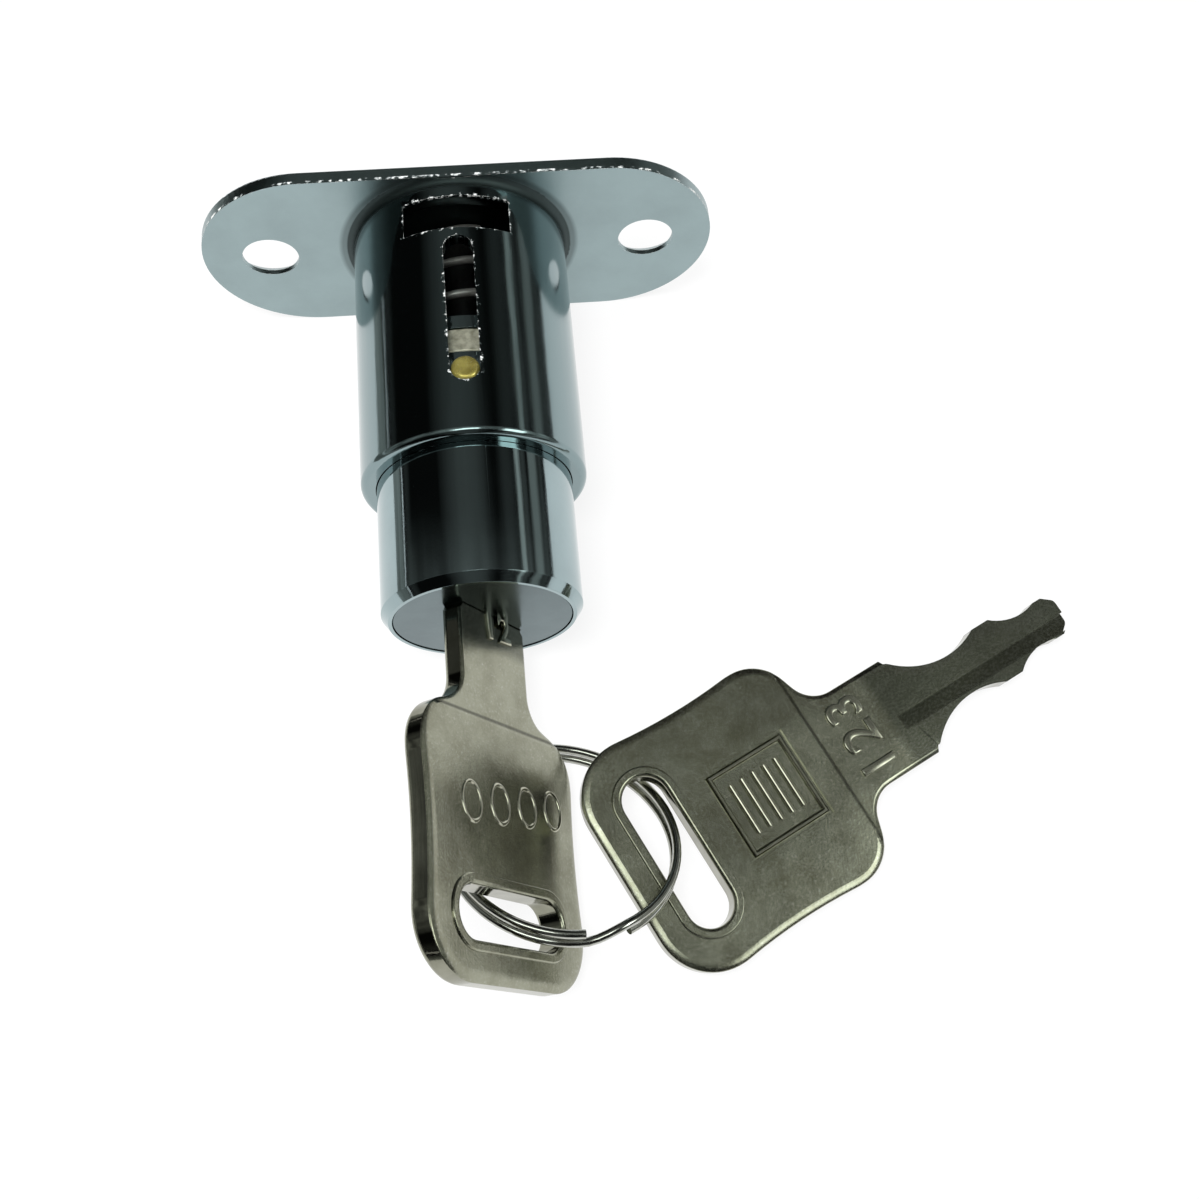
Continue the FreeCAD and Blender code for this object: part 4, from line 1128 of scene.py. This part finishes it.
@dataclass
class SplitRing:
    """Two turns of bright wire that join the keys."""

    shop: Workshop
    centre: Place = (5.8411, -62.8477, -5.5295)
    lean_heading: float = 66.155
    lean: float = 25.837
    wire: Wire = Wire(2, 10.68, 10.68, 1.26, 0.42, 298.0, 24.0)

    def build(self) -> None:
        """Wind the ring."""
        heading = math.radians(self.lean_heading)
        axis = Vector((-math.sin(heading), math.cos(heading), 0))
        pose = moved(self.centre) @ turned(self.lean, axis)
        self.shop.wind("key_ring", self.wire, pose, Finish.RING, "ring")


# Table, light and camera


@dataclass
class Studio:
    """White table, dark surround that only reflections show, lamps and camera, in metres and radians.

    The surround's light goes in degrees: round the barrel's axis from straight up to the right, and back
    along the axis. A strip has middle, half width, fade and level, a window middle and half width of both.
    """

    floor_z: float = -0.01125
    floor_half: float = 0.6
    floor_grey: float = 0.85
    floor_glow: float = 0.86
    fill: float = 0.55
    lens: float = 43.10
    camera_at: Place = (0.002204, -0.094595, 0.124718)
    camera_turn: Place = (0.40306, -0.06527, -0.07022)
    surround_radius: float = 0.45
    gloom: float = 0.005
    cloth_edge: float = -0.062
    cloth_lift: float = 0.0002
    strips: Rows = (
        (-105, 3, 6, 0.08), (-84, 1, 5, 0.03), (-13, 4, 24, 0.08), (6, 3, 14, 0.03), (38, 3, 9, 0.035),
        (52, 1.2, 2.5, 0.45), (59, 1, 3, 0.07), (72, 3, 4.5, 0.24), (83, 1, 4, 0.06), (98, 3, 4, 0.10),
    )
    windows: Rows = ((-4, 15, -15, 10), (43, 12, -21, 16))
    window_level: float = 3.5
    window_fade: float = 4.0
    sky_level: float = 0.36
    sky_reach: tuple[float, float, float, float] = (-32.0, -20.0, 9.0, 22.0)
    lamps: tuple[tuple[str, Place, float, float], ...] = (
        ("over_front", (-0.05, -0.11, 0.34), 0.14, 1.3),
        ("over_left", (-0.20, 0.02, 0.30), 0.14, 0.6),
    )
    lamps_aim: Place = (0.015, -0.045, 0.0)

    def build(self) -> None:
        """Set up the picture."""
        self.build_world()
        self.build_floor()
        self.build_surround()
        self.build_lamps()
        self.build_camera()

    @staticmethod
    def shown(graph: Graph) -> Socket:
        """Return 1 for rays from the camera, off gloss or through glass, and 0 for others."""
        path = graph.node("ShaderNodeLightPath").outputs
        seen = graph.math("MAXIMUM", path["Is Camera Ray"], path["Is Glossy Ray"])
        return graph.math("MAXIMUM", seen, path["Is Transmission Ray"])

    def build_world(self) -> None:
        """White all round, dimmer where it only lights."""
        world = bpy.data.worlds.new("white_room")
        bpy.context.scene.world = world
        world.use_nodes = True
        graph = Graph(world.node_tree)
        graph.tree.nodes.clear()
        strength = graph.plus(self.fill, graph.times(self.shown(graph), 1.0 - self.fill))
        back = graph.first("ShaderNodeBackground", {"Color": WHITE, "Strength": strength})
        graph.node("ShaderNodeOutputWorld", {"Surface": back})

    def build_floor(self) -> None:
        """White table that keeps the object's shadow."""
        skin = bmesh.new()
        bmesh.ops.create_grid(skin, x_segments=1, y_segments=1, size=self.floor_half)
        table = add_skin("table", skin)
        table.data.transform(Matrix.Translation((0, 0, self.floor_z)))
        material, graph = new_material("white_table")
        matte = graph.first("ShaderNodeBsdfDiffuse", {"Color": rgba((self.floor_grey,) * 3)})
        glow = graph.first("ShaderNodeEmission", {"Color": WHITE})
        share = graph.times(self.shown(graph), self.floor_glow)
        mixed = graph.first("ShaderNodeMixShader", {0: share, 1: matte, 2: glow})
        graph.node("ShaderNodeOutputMaterial", {"Surface": mixed})
        paint(table, material)

    def build_surround(self) -> None:
        """Dark room that only polished metal shows, with a dark cloth at the left."""
        skin = bmesh.new()
        bmesh.ops.create_uvsphere(skin, u_segments=96, v_segments=48, radius=self.surround_radius)
        below = [face for face in skin.faces if face.calc_center_median().z < self.floor_z]
        bmesh.ops.delete(skin, geom=below, context="FACES")
        bmesh.ops.reverse_faces(skin, faces=skin.faces)
        far, near, low = self.surround_radius, self.cloth_edge, self.floor_z + self.cloth_lift
        corners = [(-far, -far, low), (near, -far, low), (near, far, low), (-far, far, low)]
        skin.faces.new([skin.verts.new(corner) for corner in corners])
        room = add_skin("dark_room", skin)
        paint(room, self.room_light())
        for ray in ("camera", "diffuse", "transmission", "shadow"):
            setattr(room, f"visible_{ray}", False)

    def room_light(self) -> Material:
        """Build the surround's light: soft strips along the axis, a paler ceiling and two windows.

        Returns:
            The material.
        """
        material, graph = new_material("dark_room")
        place = graph.node("ShaderNodeTexCoord").outputs["Object"]
        parts = graph.node("ShaderNodeSeparateXYZ", {0: place}).outputs
        side = graph.math("DEGREES", graph.math("ARCTAN2", parts["X"], parts["Z"]))
        back = graph.math("DEGREES", graph.math("ARCSINE", graph.over(parts["Y"], self.surround_radius)))
        front, front_full, rear_full, rear = self.sky_reach
        ceiling = graph.times(graph.ramp(back, rear, rear_full), graph.ramp(back, front, front_full))
        level = graph.times(ceiling, self.sky_level)
        uneven = graph.noise(place, 9.0, 3.0, 0.5)
        light = graph.plus(graph.times(level, graph.ramp(uneven, 0.25, 0.70)), self.gloom)
        for middle, half, fade, strip_level in self.strips:
            away = graph.apart(side, middle)
            strip = graph.times(graph.ramp(away, half + fade, half), strip_level)
            light = graph.plus(light, strip)
        for middle, half, tilt, half_tilt in self.windows:
            inside = graph.minus(half, graph.apart(side, middle))
            within = graph.minus(half_tilt, graph.apart(back, tilt))
            open_part = graph.ramp(graph.math("MINIMUM", inside, within), 0.0, self.window_fade)
            light = graph.plus(light, graph.times(open_part, self.window_level))
        glow = graph.first("ShaderNodeEmission", {"Color": rgba((0.95, 1.0, 0.95)), "Strength": light})
        graph.node("ShaderNodeOutputMaterial", {"Surface": glow})
        return material

    def build_lamps(self) -> None:
        """Small soft lamps inside the dark surround."""
        for name, place, size, power in self.lamps:
            light = bpy.data.lights.new(name, "AREA")
            light.shape = "DISK"
            light.size = size
            light.energy = power
            lamp = add_object(name, light)
            lamp.location = place
            lamp.visible_glossy = False
            lamp.rotation_euler = (Vector(self.lamps_aim) - Vector(place)).to_track_quat("-Z", "Y").to_euler()

    def build_camera(self) -> None:
        """Camera at the photograph's place, without shift."""
        camera = bpy.data.cameras.new("camera")
        camera.lens = self.lens
        camera.clip_start = 0.005
        eye = add_object("camera", camera)
        x, y, z = self.camera_turn
        turn = Matrix.Rotation(x, 3, "X") @ Matrix.Rotation(y, 3, "Y") @ Matrix.Rotation(z, 3, "Z")
        eye.matrix_world = Matrix.Translation(self.camera_at) @ turn.to_4x4()
        bpy.context.scene.camera = eye
        bpy.context.scene.view_settings.view_transform = "Standard"


def inserted_key_pose(turn: float = PLUG_TURN, at: float = 60.45) -> Matrix:
    """Pose the key in the plug, with its face that shows along +Z.

    Args:
        turn: The keyway's turn in degrees.
        at: The key's place in millimetres before the flange.

    Returns:
        The pose.
    """
    angle = math.radians(turn)
    width = Vector((math.cos(angle), 0, -math.sin(angle)))
    face = Vector((math.sin(angle), 0, math.cos(angle)))
    return axes((0, -at, 0), Vector((0, 1, 0)), -width, face)


def spare_key_pose(place: Place = (25.595, -59.559, -8.308), turn: Place = (7.828, 2.46, 27.619)) -> Matrix:
    """Return the pose of the spare key, turned by degrees about X, Y and Z."""
    x, y, z = turn
    return moved(place) @ turned(z, "Z") @ turned(y, "Y") @ turned(x, "X")


def main() -> None:
    """Build the lock, the keys and the picture."""
    logging.basicConfig(level=logging.INFO, format="%(message)s")
    shop = Workshop()
    LockBody(shop).build()
    Plug(shop).build()
    near_plug = (Number("12", (16.7, -0.5, 1.0), -86.0, 3.8),)
    on_tab = (Number("123", (11.4, 0.0, 1.0), 90.0, 5.2, 1.2),)
    DoorKey(shop, "key", "inserted_key", inserted_key_pose(), near_plug, zeros_at=(-0.2, -1.3, 1.0)).build()
    DoorKey(shop, "spare_key", "hanging_key", spare_key_pose(), on_tab, panel=True).build()
    SplitRing(shop).build()
    Studio().build()


if __name__ == "__main__":
    main()
